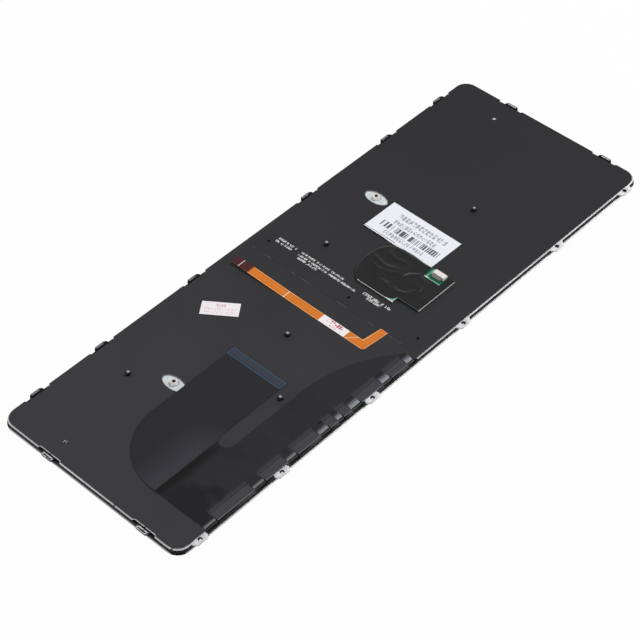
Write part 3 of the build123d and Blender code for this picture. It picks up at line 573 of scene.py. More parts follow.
def board_finish():
    """Green solder mask with pale lines beside the connector; pale laminate on its left and front."""
    s = Surface("green_circuit_board")
    c = colours()
    x, y, z = s.axes()
    traces = s.ramp(abs(((x + y) / 1.3) % 1.0 - 0.5), 0.32, 0.38) * s.ramp(s.noise(3.0), 0.45, 0.5)
    lines = s.band(x, WINDOW_X0 + 0.3, WINDOW_X0 + 0.75, 0.06).largest(
        s.band(y, WINDOW_Y1 - 1.3, WINDOW_Y1 - 0.85, 0.06))
    patch = s.band(x, WINDOW_X0, WINDOW_X0 + 1.1, 0.05) * s.band(y, WINDOW_Y1 - 2.6, WINDOW_Y1 - 0.3, 0.05)
    base = s.mix(s.noise(2.0) * 0.4, c.board, scaled(c.board, 0.6))
    base = s.mix(traces * 0.3, base, scaled(c.board, 1.6))
    base = s.mix(lines * 0.75, base, srgb(156, 216, 190))
    base = s.mix(patch * 0.9, base, srgb(222, 230, 224))
    front = s.ramp(y, BOARD_LOW.y + 0.28, BOARD_LOW.y + 0.4, 1.0, 0.0)
    side = s.ramp(x, BOARD_LOW.x + 0.28, BOARD_LOW.x + 0.4, 1.0, 0.0) * (y < BOARD_HIGH.y - BOARD_CORNER)
    pale = front.largest(side) * (z > BOARD_HIGH.z - 0.42)
    corner = (x < STEP_X + 0.4) * s.ramp(y, STEP_Y + 3.5, STEP_Y + 6.0, 0.8, 0.0)
    base = s.mix(corner, base, srgb(160, 198, 182))
    base = s.mix((s.upward() < 0.5) * (1 - pale), base, srgb(16, 24, 21))
    base = s.mix(pale, base, c.laminate)
    return s.finish(base_color=base, roughness=0.28 + pale * 0.3, normal=s.bump(traces, 0.02))


def connector_finish():
    """Pale moulding of the connector's housing."""
    return moulded_finish("connector_moulding", colours().connector, 0.45, 0.3, 0.004)


def latch_finish():
    """Brown flip latch, ribbed where the contacts show through."""
    s = Surface("latch_moulding")
    c = colours()
    _, y, _ = s.axes()
    middle = s.band(y, LATCH_LOW.y + 0.4, LATCH_HIGH.y - 0.4, 0.05)
    ribs = s.band((y / 0.5) % 1.0, 0.25, 0.75, 0.1) * middle
    base = s.mix(ribs * 0.6, c.latch, srgb(168, 160, 152))
    return s.finish(base_color=base, roughness=s.noise(0.5) * 0.1 + 0.36, metallic=ribs * 0.3,
                    normal=s.bump(ribs, 0.03))


def tape_finish():
    """Thin glossy black tape; the sides of its folds that face the light are paler, and painted shade darkens it
    near its foot.
    """
    s = Surface("black_tape")
    c = colours()
    nx, ny, _ = s.parts(s.node("ShaderNodeNewGeometry", out="Normal"))
    lit = s.ramp(nx * 0.75 + ny * 0.6, 0.04, 0.36)
    z = s.axes()[2]
    skirt_shade = s.ramp(z, BOARD_HIGH.z - 0.35, BOARD_HIGH.z + 0.05, 1.0, 0.0)
    folds = s.ramp(z, TAPE_HIGH.z - 0.08, TAPE_HIGH.z + 0.03)
    base = s.mix(s.noise(5.0) * 0.5, c.tape, scaled(c.tape, 1.5))
    base = s.mix(lit * folds * 0.7, base, srgb(92, 91, 92))
    # Painted shade: darker near the tape's foot, where it meets the board and film.
    base = s.mix(skirt_shade, base, scaled(c.tape, 0.45))
    rough = s.noise(3.5, 3.0) * 0.14 + 0.24 + skirt_shade * 0.5
    return s.finish(base_color=base, roughness=rough, specular_ior_level=0.4,
                    normal=s.bump(s.noise(1.8, 3.0), 0.02))


def clear_finish():
    """Clear sheet with fine dots that scatter the light, with painted shade under the cover's holes."""
    s = Surface("light_guide_sheet")
    from_dot = s.node("ShaderNodeTexVoronoi", None, {"Vector": s.mm, "Scale": 0.8})
    dots = s.ramp(from_dot, 0.2, 0.26, 1.0, 0.0)
    base = s.mix(dots * 0.5, srgb(226, 230, 232), srgb(250, 250, 250))
    # Painted shade under the cover's holes.
    base = s.mix(s.ramp(s.away(COVER_HOLES), 0.9, 1.1, 1.0, 0.0), base, srgb(6, 6, 6))
    return s.finish(base_color=base, roughness=dots * 0.3 + 0.12)


def rubber_finish(name, colour, grain):
    """Soft rubber with a dull, grainy skin."""
    s = Surface(name)
    base = s.mix(s.noise(1.2) * 0.5, colour, scaled(colour, 0.7))
    return s.finish(base_color=base, roughness=s.noise(0.8) * 0.12 + 0.6,
                    normal=s.bump(s.noise(grain), 0.03))


def led_finish():
    """Pale housing, yellower in soft clouds."""
    s = Surface("led_body")
    window = s.noise(1.0)
    base = s.mix(window * 0.4, srgb(240, 236, 214), srgb(226, 200, 96))
    return s.finish(base_color=base, roughness=window * 0.1 + 0.25)


# Meshes

def new_piece(name, mesh, body, slot, material, *nodes, sharp=40.0):
    """Puts a mesh in millimetres into the scene as a piece, in place of the nodes it stands for."""
    mesh.transform(Matrix.Scale(MM, 4))
    mesh.shade_smooth()
    mesh.set_sharp_from_angle(angle=math.radians(sharp))
    mesh.materials.append(material)
    piece = bpy.data.objects.new(name, mesh)
    bpy.context.scene.collection.objects.link(piece)
    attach(piece, body)
    if nodes:
        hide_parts(*nodes)
    return piece


def to_mesh(bm, name):
    """A mesh from a bmesh, with its faces turned outwards."""
    bmesh.ops.recalc_face_normals(bm, faces=bm.faces)
    mesh = bpy.data.meshes.new(name)
    bm.to_mesh(mesh)
    bm.free()
    return mesh


def dress(node, material):
    """Gives a solid that keeps its own mesh its finish."""
    materials = frame["nodes"][node].data.materials
    materials.clear()
    materials.append(material)


def node_bmesh(node):
    """A solid's mesh as a bmesh in millimetres, with its corners joined again."""
    bm = bmesh.new()
    bm.from_mesh(frame["nodes"][node].data)
    bmesh.ops.scale(bm, vec=(1 / MM,) * 3, verts=bm.verts)
    bmesh.ops.remove_doubles(bm, verts=bm.verts, dist=0.002)
    return bm


def eased(node, width, steps=2, join=True):
    """A solid's mesh with its sharp edges eased, as moulding and pressing leave them."""
    bm = node_bmesh(node)
    if join:
        bmesh.ops.dissolve_limit(bm, angle_limit=math.radians(0.5), verts=bm.verts, edges=bm.edges)
    corner = math.radians(30)
    edges = [e for e in bm.edges if e.is_manifold and e.calc_face_angle(0.0) > corner]
    bmesh.ops.bevel(bm, geom=edges, offset=width, offset_type="OFFSET", segments=steps, profile=0.5,
                    affect="EDGES", clamp_overlap=True)
    bmesh.ops.triangulate(bm, faces=[f for f in bm.faces if len(f.verts) > 4])
    return to_mesh(bm, node)


def islands(bm):
    """The separate solids of a bmesh, as lists of its faces, in the mesh's own order."""
    seen, found = set(), []
    for first in bm.faces:
        if first in seen:
            continue
        seen.add(first)
        island = [first]
        for face in island:
            for near in (f for e in face.edges for f in e.link_faces):
                if near not in seen:
                    seen.add(near)
                    island.append(near)
        found.append(island)
    return found


def arc(centre, radius, start, end, steps):
    """Points on an arc, angles in degrees."""
    turns = [math.radians(start + (end - start) * n / steps) for n in range(steps + 1)]
    return [(centre[0] + radius * math.cos(t), centre[1] + radius * math.sin(t)) for t in turns]


def raise_copy(bm, faces, rise):
    """Closes some faces into a solid with a copy of them that is moved up, or down below 0."""
    copied = bmesh.ops.extrude_face_region(bm, geom=faces)["geom"]
    moved = [v for v in copied if isinstance(v, bmesh.types.BMVert)]
    bmesh.ops.translate(bm, verts=moved, vec=(0, 0, rise))


def sheet_mesh(name, outline, pitch, height, thickness):
    """A film cut to an outline: a fine net of faces lifted to its height, closed underneath."""
    bm = bmesh.new()
    bm.faces.new([bm.verts.new((x, y, 0)) for x, y in outline])
    for axis in (0, 1):
        low = min(p[axis] for p in outline)
        high = max(p[axis] for p in outline)
        count = max(1, round((high - low) / pitch))
        for n in range(1, count):
            at, along = Vector(), Vector()
            at[axis], along[axis] = low + (high - low) * n / count, 1.0
            geometry = bm.verts[:] + bm.edges[:] + bm.faces[:]
            bmesh.ops.bisect_plane(bm, geom=geometry, plane_co=at, plane_no=along, dist=0.001)
    tops = bm.faces[:]
    for v in bm.verts:
        v.co.z = height(v.co.x, v.co.y)
    raise_copy(bm, tops, -thickness)
    bmesh.ops.triangulate(bm, faces=[f for f in bm.faces if len(f.verts) > 4])
    return to_mesh(bm, name)


def skin(bm, rings, sides):
    """Faces from each ring of points to the next; a ring may be a single point."""
    for lower, upper in zip(rings, rings[1:]):
        for n in range(sides):
            corners = [lower[n % len(lower)], lower[(n + 1) % len(lower)],
                       upper[(n + 1) % len(upper)], upper[n % len(upper)]]
            bm.faces.new(list(dict.fromkeys(corners)))


def turned(bm, profile, centre, sides):
    """A turned shape about an upright axis; its profile is pairs of radius and height."""
    rings = []
    for radius, z in profile:
        if radius <= 0:
            rings.append([bm.verts.new((centre[0], centre[1], z))])
            continue
        points = arc(centre, radius, 0, 360 - 360 / sides, sides - 1)
        rings.append([bm.verts.new((x, y, z)) for x, y in points])
    skin(bm, rings, sides)


def swept_strip(bm, path, x0, x1, thickness):
    """A strip along X that follows a path in Y and Z."""
    sides = []
    for n, (y, z) in enumerate(path):
        before, after = path[max(n - 1, 0)], path[min(n + 1, len(path) - 1)]
        along = Vector((after[0] - before[0], after[1] - before[1])).normalized()
        normal = Vector((-along.y, along.x)) * thickness / 2
        sides.append([bm.verts.new((x, y + side * normal.x, z + side * normal.y))
                      for side in (1, -1) for x in (x0, x1)])
    for a, b in zip(sides, sides[1:]):
        for i, j in ((0, 1), (1, 3), (3, 2), (2, 0)):
            bm.faces.new((a[i], a[j], b[j], b[i]))
    for end in (sides[0], sides[-1]):
        bm.faces.new((end[0], end[1], end[3], end[2]))


def nearest_on(p, a, b):
    """How far from a to b the nearest point to p lies, from 0 to 1, and its distance from p."""
    along = b - a
    t = min(1.0, max(0.0, (p - a).dot(along) / along.length_squared))
    return t, (p - a - along * t).length


def inside_distance(point, outline):
    """Distance from an outline: above 0 inside it, below 0 outside."""
    p, inside, best = Vector(point), False, 1e9
    for a, b in zip(outline, outline[1:] + outline[:1]):
        a, b = Vector(a), Vector(b)
        best = min(best, nearest_on(p, a, b)[1])
        if (a.y > p.y) != (b.y > p.y) and p.x < a.x + (p.y - a.y) / (b.y - a.y) * (b.x - a.x):
            inside = not inside
    return best if inside else -best


def smooth(value, low, high):
    """A soft step from 0 to 1 as the value goes from low to high."""
    t = min(1.0, max(0.0, (value - low) / (high - low)))
    return t * t * (3 - 2 * t)


def ridge(point, line, width):
    """1 along a line of points, falling softly to 0 beside it and at its ends."""
    p, best = Vector(point), 0.0
    for n, (a, b) in enumerate(zip(line, line[1:])):
        a, b = Vector(a), Vector(b)
        t, away = nearest_on(p, a, b)
        share = (n + t) / (len(line) - 1)
        fade = min(1.0, 4 * share + 0.25, 4 * (1 - share) + 0.25)
        best = max(best, fade * math.exp(-(away / width) ** 2))
    return best


# The ribbon's own sizes
RIBBON_X0 = MEMBRANE_LOW.x + 15.1
RIBBON_Y0, RIBBON_Y1 = STIFFENER_LOW.y, STIFFENER_HIGH.y
RIBBON_TOP = STIFFENER_LOW.z
RIBBON_T = RIBBON_TOP - BACK_Z
RIBBON_TURN_R = 30.5
SLOT_W = 8.0
SLOT_X = RIBBON_X0 + 40.0
BAND_END = COVER_LOW.x - 3.0
BAND_Y0 = FRONT + 5.8
BAND_CURVE = 52.0
PAD_TONE = 1.55
CREASE_Y = RIBBON_Y0 - 1.2
CREASE_X1 = SLOT_X - SLOT_W / 2
TONGUES = [(RIBBON_X0 + start, RIBBON_X0 + start + width)
           for start, width in ((0.1, 6.6), (29.0, 6.3), (49.4, 5.5), (69.4, 5.7))]
TONGUES += [(BAND_END - end - width, BAND_END - end)
            for end, width in ((46.0, 3.1), (34.7, 5.7), (15.1, 5.1), (0.2, 3.8))]
FOLD_LOW_Z, FOLD_R = 3.6, 0.3
FILM_FRONT, FILM_CORNER = FRONT + 1.9, 6.5

# The orange cable's own sizes
CABLE_WIDTH, CABLE_RUN_W = 4.7, 4.2
CABLE_RUN_Y = FRONT + 20.0
CABLE_REACH, CABLE_SLANT = 15.1, 1.4
CROSS_MARK, SLANT_MARK = 15.5, -22.7
CABLE_STICKER_ROWS = [(1.1, 9.0, 2.2, 0.9), (-1.2, 5.0, 1.0, 0.5)]


def ribbon_outline():
    """From the front left corner round the wide turn, the stiff end, the slot and the tapering band."""
    band_top = RIBBON_Y0 - SLOT_W
    turn = (RIBBON_X0 + RIBBON_TURN_R, RIBBON_Y1 - RIBBON_TURN_R)
    edge = [(RIBBON_X0, BAND_Y0)]
    edge += arc(turn, RIBBON_TURN_R, 180, 90, 24)
    edge += [(STIFFENER_HIGH.x, RIBBON_Y1), (STIFFENER_HIGH.x, RIBBON_Y0)]
    edge += arc((SLOT_X, RIBBON_Y0 - SLOT_W / 2), SLOT_W / 2, 90, 270, 16)
    curve_x, drop = BAND_END - BAND_CURVE, band_top - BAND_Y0
    edge += [(curve_x + BAND_CURVE * t, band_top - drop * t ** 2.4) for t in [n / 20 for n in range(21)]]
    return edge


def ribbon_height(x, y):
    """The film lies flat at its stiff end, ripples a little, and stands proud along the crease."""
    loose = smooth(x, STIFFENER_LOW.x, STIFFENER_LOW.x - 25.0)
    ripple = noise.noise(Vector((x / 23.0, y / 11.0, 2.7))) * 0.12 * loose
    ripple = max(ripple, -0.02)
    across = smooth(x, CREASE_X1 + 6.0, CREASE_X1 - 4.0)
    crease = math.exp(-((y - CREASE_Y) / (5.0 if y > CREASE_Y else 1.4)) ** 2) * across
    pad = smooth(y, BAND_Y0, BAND_Y0 + 3.0)
    return RIBBON_TOP + (ripple + crease * detail().crease_rise) * pad


def fold_path():
    """A tongue's way from under the plate, round the fold and up to the back."""
    low, high = FOLD_LOW_Z, BACK_Z + RIBBON_T / 2
    radius = FOLD_R
    fold = (FRONT + 0.7 + radius, low + radius)
    path = [(FRONT + 3.8, low), (FRONT + 2.2, low)]
    path += arc(fold, radius, 270, 90, 10)
    rise_y, rise = FRONT + 4.0, high - (low + 2 * radius)
    start = fold[0]
    path += [(start + (rise_y - start) * t, low + 2 * radius + rise * smooth(t, 0, 1))
             for t in [n / 8 for n in range(1, 9)]]
    return path + [(BAND_Y0 + 0.7, high)]


def membrane_film(bm):
    """The flat part of the membrane, between the keys and the plate."""
    low, high, cut = MEMBRANE_LOW, MEMBRANE_HIGH, FILM_CORNER
    corners = [(low.x, FILM_FRONT + cut), (low.x + cut, FILM_FRONT), (high.x - cut, FILM_FRONT),
               (high.x, FILM_FRONT + cut), (high.x, high.y - cut), (high.x - cut, high.y),
               (low.x + cut, high.y), (low.x, high.y - cut)]
    base = bm.faces.new([bm.verts.new((x, y, low.z)) for x, y in corners])
    raise_copy(bm, [base], RIBBON_T)


# The tape over the board
TAPE_REACH = 1.3
STEP_X, STEP_Y = BOARD_LOW.x + 3.6, BOARD_LOW.y + 12.7
WINDOW_X0, WINDOW_Y0, WINDOW_Y1 = LATCH_LOW.x - 2.1, CONNECTOR_LOW.y - 0.5, CONNECTOR_HIGH.y + 2.2
BOARD_CORNER = 6.0
CONNECTOR_EASE = 0.08
TAPE_FOLDS = [
    ([(28.6, 3.6), (27.0, -1.0), (26.2, -6.0), (28.8, -13.0)], 1.3, 0.30),
    ([(24.4, 1.0), (23.0, -4.0), (24.6, -10.6), (27.4, -14.6)], 1.2, 0.26),
    ([(18.2, -9.0), (18.1, -13.6), (16.6, -17.4)], 0.9, 0.22),
    ([(16.0, -13.0), (18.4, -14.2), (20.8, -13.6)], 0.8, 0.16),
    ([(35.0, 0.0), (32.8, -6.0), (34.4, -13.6)], 1.4, 0.24),
    ([(19.4, -17.6), (17.2, -20.4), (18.8, -24.6), (24.0, -28.0), (30.0, -27.2)], 1.0, 0.30),
    ([(30.0, -27.2), (32.4, -21.8), (29.4, -18.2), (25.0, -16.9)], 1.1, 0.28),
    ([(29.0, -31.0), (24.0, -33.2), (19.0, -32.6)], 1.3, 0.14),
]
STICK_BACK = (25.4, -21.6)
STICK_BACK_R = 6.6


def board_outline():
    """Cut corners at the rear and a step at the front left."""
    low, high, cut = BOARD_LOW, BOARD_HIGH, BOARD_CORNER
    return [(STEP_X, low.y), (high.x, low.y), (high.x, high.y - cut), (high.x - cut, high.y),
            (low.x + cut, high.y), (low.x, high.y - cut), (low.x, STEP_Y), (STEP_X, STEP_Y)]


def tape_outline():
    """Straight along the board's front and left, domed at the rear, lapping over the label."""
    low, high = BOARD_LOW, BOARD_HIGH
    edge = 0.12
    outline = [(STEP_X + edge, low.y + edge), (high.x - edge, low.y + edge), (high.x - edge, WINDOW_Y0),
               (WINDOW_X0, WINDOW_Y0 - 0.2), (WINDOW_X0 + 0.3, WINDOW_Y1), (high.x - 0.4, WINDOW_Y1 + 0.3),
               (high.x + 0.6, -16.5), (high.x + 1.1, -11.0), (high.x + 1.0, -5.0), (high.x + 0.3, -0.6)]
    dome = ((27.2, 2.6), (24.4, 4.6), (20.6, 6.0), (15.6, 6.6), (10.8, 6.2), (7.0, 5.2), (4.0, 3.7),
            (1.8, 1.8), (0.3, -0.3), (-0.4, -1.6), (-0.5, -2.6))
    outline += [(low.x + x, y) for x, y in dome]
    return outline + [(low.x + edge, -3.2), (low.x + edge, STEP_Y + 4.6), (low.x + 1.2, STEP_Y + 1.6),
                      (low.x + 2.6, STEP_Y + 0.6), (STEP_X + edge, STEP_Y + 0.3)]


def tape_height(x, y):
    """Tape pulled over the board: taut at its edges, folded on top, round over the stick's back."""
    point = (x, y)
    over = inside_distance(point, board_outline())
    foot = TAPE_LOW.z + 0.1 + (LABEL_HIGH.z - BACK_Z) * smooth(x, LABEL_LOW.x - 0.3, LABEL_LOW.x)
    inside = inside_distance(point, TAPE_EDGE)
    raised = max(smooth(over, -0.25, 0.1), smooth(inside, 0.0, TAPE_REACH))
    z = foot + (TAPE_HIGH.z - foot) * raised
    loose = smooth(inside, 0.2, 2.2)
    lift = sum(height * ridge(point, line, width) for line, width, height in TAPE_FOLDS)
    away = (Vector(point) - Vector(STICK_BACK)).length
    lift += 0.16 * smooth(away, STICK_BACK_R, STICK_BACK_R - 2.6)
    lift += 0.12 * noise.noise(Vector((x / 4.6, y / 5.8, 9.1)))
    return z + max(lift, -0.02) * loose * detail().tape_folds


TAPE_EDGE = tape_outline()

# The label, whose rows of dashes are given by place across, margins at both ends and height
LABEL_TURN = math.radians(-0.6)
LABEL_PITCH = 1.2
LABEL_ROWS = ((4.1, 9.0, 9.8, 2.5), (12.4, 7.8, 8.8, 2.6), (16.8, 4.6, 8.6, 3.2))

# The tilted sticker, whose rows are given by place across, length, height and weight
NOTE_SIZE = (18.0, 8.3)
NOTE_ROWS = [(2.1, 4.6, 1.9, 0.5), (-0.3, 15.5, 1.4, 0.32), (-2.3, 15.5, 1.3, 0.26)]


def label_outline():
    """A rectangle, stuck on a little askew."""
    middle = (LABEL_LOW + LABEL_HIGH) / 2
    half = (LABEL_HIGH - LABEL_LOW) / 2
    corners = [(-half.x + 0.25, -half.y + 0.1), (half.x - 0.25, -half.y + 0.1),
               (half.x - 0.25, half.y - 0.1), (-half.x + 0.25, half.y - 0.1)]
    turn = Matrix.Rotation(LABEL_TURN, 2)
    return [tuple(turn @ Vector(corner) + middle.xy) for corner in corners]


def label_height(x, y):
    """Stuck flat, with its left edge standing up a little beyond the tape."""
    free = smooth(y, 2.0, 9.0)
    edge = smooth(x, LABEL_LOW.x + 2.2, LABEL_LOW.x)
    return LABEL_HIGH.z + (0.05 + 0.5 * edge ** 1.5) * detail().label_lift * free * edge


# Nut plates, bosses and pins
NUT_HALF = (3.4, 6.7)
NUT_T = 0.35
BOSS_R, BOSS_BORE_R, BOSS_EASE = 1.6, 0.8, 0.12
THREAD_STEP, THREAD_DEPTH = 0.13, 0.09
DIMPLE_FROM_BOSS = 4.4
PIN_EASE = 0.14
BOSSES = ("left_boss_thread", "right_boss_thread")
PINS_AT = [(-100.1, 33.3), (-65.4, -26.6), (-35.6, -2.4), (19.2, 24.8), (83.6, -11.2)]


def nut_plate(bm, centre, low, top, boss_top):
    """An oval plate with a rolled rim, a boss with a threaded bore and a pressed dimple near each end."""
    sides, rings = 56, []
    rim = ((-0.12, low), (0.0, low + 0.08), (0.0, top - 0.1), (-0.12, top), (-0.5, top), (-1.2, top))
    for grow, z in rim:
        rings.append([bm.verts.new((centre.x + (NUT_HALF[0] + grow) * math.cos(t),
                                    centre.y + (NUT_HALF[1] + grow) * math.sin(t), z))
                      for t in [2 * math.pi * n / sides for n in range(sides)]])
    skin(bm, rings, sides)
    bm.faces.new(rings[0][::-1])
    bm.faces.new(rings[-1])
    dimple = [(0.0, top + 0.02), (0.42, top + 0.06), (0.62, top + 0.13), (0.85, top + 0.1),
              (1.0, top - 0.02)]
    for side in (-1, 1):
        turned(bm, dimple, (centre.x, centre.y + side * DIMPLE_FROM_BOSS), 24)
    thread = [(BOSS_BORE_R + (THREAD_DEPTH if n % 2 else 0.0), boss_top - BOSS_EASE - THREAD_STEP * n)
              for n in range(int((boss_top - top) / THREAD_STEP))]
    outside = [(BOSS_BORE_R + 0.14, boss_top), (BOSS_R - BOSS_EASE, boss_top),
               (BOSS_R, boss_top - BOSS_EASE), (BOSS_R, top + 0.15), (BOSS_R + 0.2, top - 0.02)]
    turned(bm, thread[::-1] + outside, centre.xy, 40)


def pin_finish(top):
    """Black posts with a painted highlight on the far side of their tops."""
    s = Surface("pin_moulding")
    c = colours()
    _, _, z = s.axes()
    far_sides = [(x + 0.35, y + 0.2) for x, y in PINS_AT]
    # Painted highlight on the far side of each pin's top.
    wear_and_highlight = s.ramp(s.away(far_sides), 0.5, 0.95, 1.0, 0.0) * (z > top - PIN_EASE)
    base = s.mix(s.noise(2.0) * 0.5, c.pin, scaled(c.pin, 0.6))
    base = s.mix(wear_and_highlight * 0.9, base, srgb(168, 168, 172))
    return s.finish(base_color=base, roughness=0.3 + wear_and_highlight * 0.1, specular_ior_level=0.3,
                    normal=s.bump(s.noise(0.3), 0.002))


# Operators

class KEYBOARD_OT_frame_and_plate(bpy.types.Operator):
    """Eased key frame with its pale rim, and the bright steel base plate"""

    bl_idname = "keyboard.frame_and_plate"
    bl_label = "Key frame and base plate"

    def execute(self, context):
        ease = detail().edge_ease / MM
        new_piece("key_frame_eased", eased("key_frame", ease, 2, False), BOARD_BODY, "frame_plastic",
                  frame_finish(), "key_frame")
        new_piece("base_plate_eased", eased("base_plate", ease * 0.6, 1, False), BOARD_BODY, "steel",
                  steel_finish(), "base_plate")
        return {"FINISHED"}


class KEYBOARD_OT_back_films(bpy.types.Operator):
    """Back film, the cover film over the light strip with its printed rows, and the light guide"""

    bl_idname = "keyboard.back_films"
    bl_label = "Back films"

    def execute(self, context):
        c = colours()
        dress("back_film", film_finish("back_film_satin", c.film, spots=COVER_HOLES))
        rows = [(COVER_HIGH.x - inset, *rest) for inset, *rest in COVER_ROWS]
        dress("strip_cover", film_finish("cover_film_satin", c.cover_film, rows, COVER_HOLES))
        dress("light_guide", clear_finish())
        return {"FINISHED"}


class KEYBOARD_OT_ribbon(bpy.types.Operator):
    """Membrane with its ribbon on the back, its tongues round the front edge, and the blue stiffener"""

    bl_idname = "keyboard.ribbon"
    bl_label = "Membrane ribbon"

    def execute(self, context):
        pitch = detail().sheet_pitch / MM
        sheet = sheet_mesh("membrane_ribbon", ribbon_outline(), pitch, ribbon_height, RIBBON_T)
        bm = bmesh.new()
        bm.from_mesh(sheet)
        path = fold_path()
        for x0, x1 in TONGUES:
            swept_strip(bm, path, x0, x1, RIBBON_T)
        membrane_film(bm)
        new_piece("membrane_ribbon", to_mesh(bm, "membrane_ribbon"), BOARD_BODY, "ribbon_film",
                  ribbon_finish(), "membrane_circuit")
        dress("ribbon_stiffener", blue_film_finish())
        return {"FINISHED"}


class KEYBOARD_OT_backlight(bpy.types.Operator):
    """Orange backlight cable, its dark end, its sticker and the LEDs"""

    bl_idname = "keyboard.backlight"
    bl_label = "Backlight cable"

    def execute(self, context):
        c = colours()
        dress("backlight_cable", cable_finish())
        dress("cable_end_stiffener", cable_end_finish())
        middle = (CABLE_STICKER_LOW + CABLE_STICKER_HIGH) / 2
        size = CABLE_STICKER_HIGH - CABLE_STICKER_LOW
        dress("cable_sticker", sticker_finish("cable_sticker_paper", c.red_ink, (0, 1), (1, 0), middle,
                                              (size.y, size.x), CABLE_STICKER_ROWS))
        dress("backlight_leds", led_finish())
        return {"FINISHED"}


class KEYBOARD_OT_stick_board(bpy.types.Operator):
    """Pointing-stick circuit board, its connector and latch, and the wrinkled tape over them"""

    bl_idname = "keyboard.stick_board"
    bl_label = "Pointing-stick board"

    def execute(self, context):
        dress("stick_board", board_finish())
        new_piece("board_connector_eased", eased("board_connector", CONNECTOR_EASE), BOARD_BODY,
                  "connector_white", connector_finish(), "board_connector")
        dress("connector_latch", latch_finish())
        pitch, thickness = detail().tape_pitch / MM, TAPE_HIGH.z - BOARD_HIGH.z
        tape = sheet_mesh("board_tape_wrinkled", TAPE_EDGE, pitch, tape_height, thickness)
        new_piece("board_tape_wrinkled", tape, BOARD_BODY, "tape", tape_finish(), "board_tape", sharp=60)
        return {"FINISHED"}


class KEYBOARD_OT_labels(bpy.types.Operator):
    """White bar label and the small tilted sticker"""

    bl_idname = "keyboard.labels"
    bl_label = "Labels"

    def execute(self, context):
        label = sheet_mesh("bar_label", label_outline(), LABEL_PITCH, label_height,
                           LABEL_HIGH.z - LABEL_LOW.z)
        new_piece("bar_label", label, BOARD_BODY, "label_paper", label_finish(), "barcode_label")
        middle = (NOTE_LOW + NOTE_HIGH) / 2
        turn = math.radians(detail().note_angle)
        along, across = (math.cos(turn), math.sin(turn)), (-math.sin(turn), math.cos(turn))
        finish = sticker_finish("note_paper", colours().pink_ink, along, across, middle, NOTE_SIZE,
                                NOTE_ROWS)
        dress("inspection_sticker", finish)
        return {"FINISHED"}


class KEYBOARD_OT_fixings(bpy.types.Operator):
    """Oval nut plates with threaded bosses, and the black locating pins"""

    bl_idname = "keyboard.fixings"
    bl_label = "Bosses and pins"

    def execute(self, context):
        low, high = box_mm("screw_bosses")
        bm = bmesh.new()
        for name in BOSSES:
            nut_plate(bm, MOUNTS[name], low.z, low.z + NUT_T, high.z)
        new_piece("nut_plates", to_mesh(bm, "nut_plates"), BOARD_BODY, "nut_steel", plated_finish(),
                  "screw_bosses")
        new_piece("locating_pins_eased", eased("locating_pins", PIN_EASE), BOARD_BODY, "pin_plastic",
                  pin_finish(box_mm("locating_pins")[1].z), "locating_pins")
        return {"FINISHED"}


class KEYBOARD_OT_pointing_stick(bpy.types.Operator):
    """Domed rubber cap of the pointing stick, and its post"""

    bl_idname = "keyboard.pointing_stick"
    bl_label = "Pointing stick"

    def execute(self, context):
        low, high = box_mm("stick_cap")
        middle, radius = (low + high) / 2, (high.x - low.x) / 2
        bm = bmesh.new()
        profile = [(0, high.z), (radius, high.z), (radius, low.z + 0.9), (radius * 0.93, low.z + 0.4),
                   (radius * 0.75, low.z + 0.12), (radius * 0.4, low.z), (0, low.z)]
        turned(bm, profile, middle.xy, 40)
        new_piece("stick_cap_domed", to_mesh(bm, "stick_cap_domed"), BOARD_BODY, "stick_rubber",
                  rubber_finish("stick_rubber_cap", colours().stick, 0.35), "stick_cap")
        dress("stick_post", moulded_finish("post_moulding", colours().frame, 0.5, 0.2, 0.004))
        return {"FINISHED"}


class KEYBOARD_OT_keys(bpy.types.Operator):
    """Keycaps with rounded edges, moving and fixed"""

    bl_idname = "keyboard.keys"
    bl_label = "Keycaps"

    def execute(self, context):
        finish = moulded_finish("keycap_moulding", colours().key, 0.5, 0.16, 0.006)
        for body, nodes in frame["record"]["behaviour"]["bodies"].items():
            caps = [n for n in nodes if n.startswith("key_") or n.endswith("_keys")]
            for node in (n for n in caps if n != "key_frame"):
                mesh = eased(node, detail().cap_ease / MM, 3)
                new_piece(f"{node}_cap", mesh, body, "key_plastic", finish, node)
        return {"FINISHED"}


class KEYBOARD_OT_hinges(bpy.types.Operator):
    """Scissor links and rubber domes, one set to a key"""

    bl_idname = "keyboard.hinges"
    bl_label = "Key hinges"

    def execute(self, context):
        c = colours()
        link_finish = moulded_finish("link_moulding", c.link, 0.4, 0.2, 0.004)
        dome_finish = rubber_finish("dome_silicone", c.dome, 0.5)
        finishes = {"scissor_links": ("link_plastic", link_finish),
                    "rubber_domes": ("dome_rubber", dome_finish)}
        keys = {body: sum(box_mm(body), Vector()) / 2 for body in JOINTS if body.startswith("key_")}
        anchor = Vector((0, 0, MEMBRANE_LOW.z))
        for node, (slot, finish) in finishes.items():
            groups = {}
            bm = node_bmesh(node)
            for island in islands(bm):
                verts = dict.fromkeys(v for face in island for v in face.verts)
                centre = sum((v.co for v in verts), Vector()) / len(verts)
                nearest = min(keys, key=lambda key: (keys[key] - centre).xy.length)
                groups.setdefault(nearest, []).append(island)
            for key, solids in groups.items():
                self.add_set(key, node, solids, slot, finish, anchor)
            bm.free()
        return {"FINISHED"}

    def add_set(self, key, node, solids, slot, finish, anchor):
        """The links or the dome of one key, as one piece."""
        piece_bm = bmesh.new()
        copies = {}
        for face in (f for island in solids for f in island):
            for v in face.verts:
                if v not in copies:
                    copies[v] = piece_bm.verts.new(v.co)
            piece_bm.faces.new([copies[v] for v in face.verts])
        name = f"{key}_{node}"
        piece = new_piece(name, to_mesh(piece_bm, name), BOARD_BODY, slot, finish, node)
        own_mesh(piece)


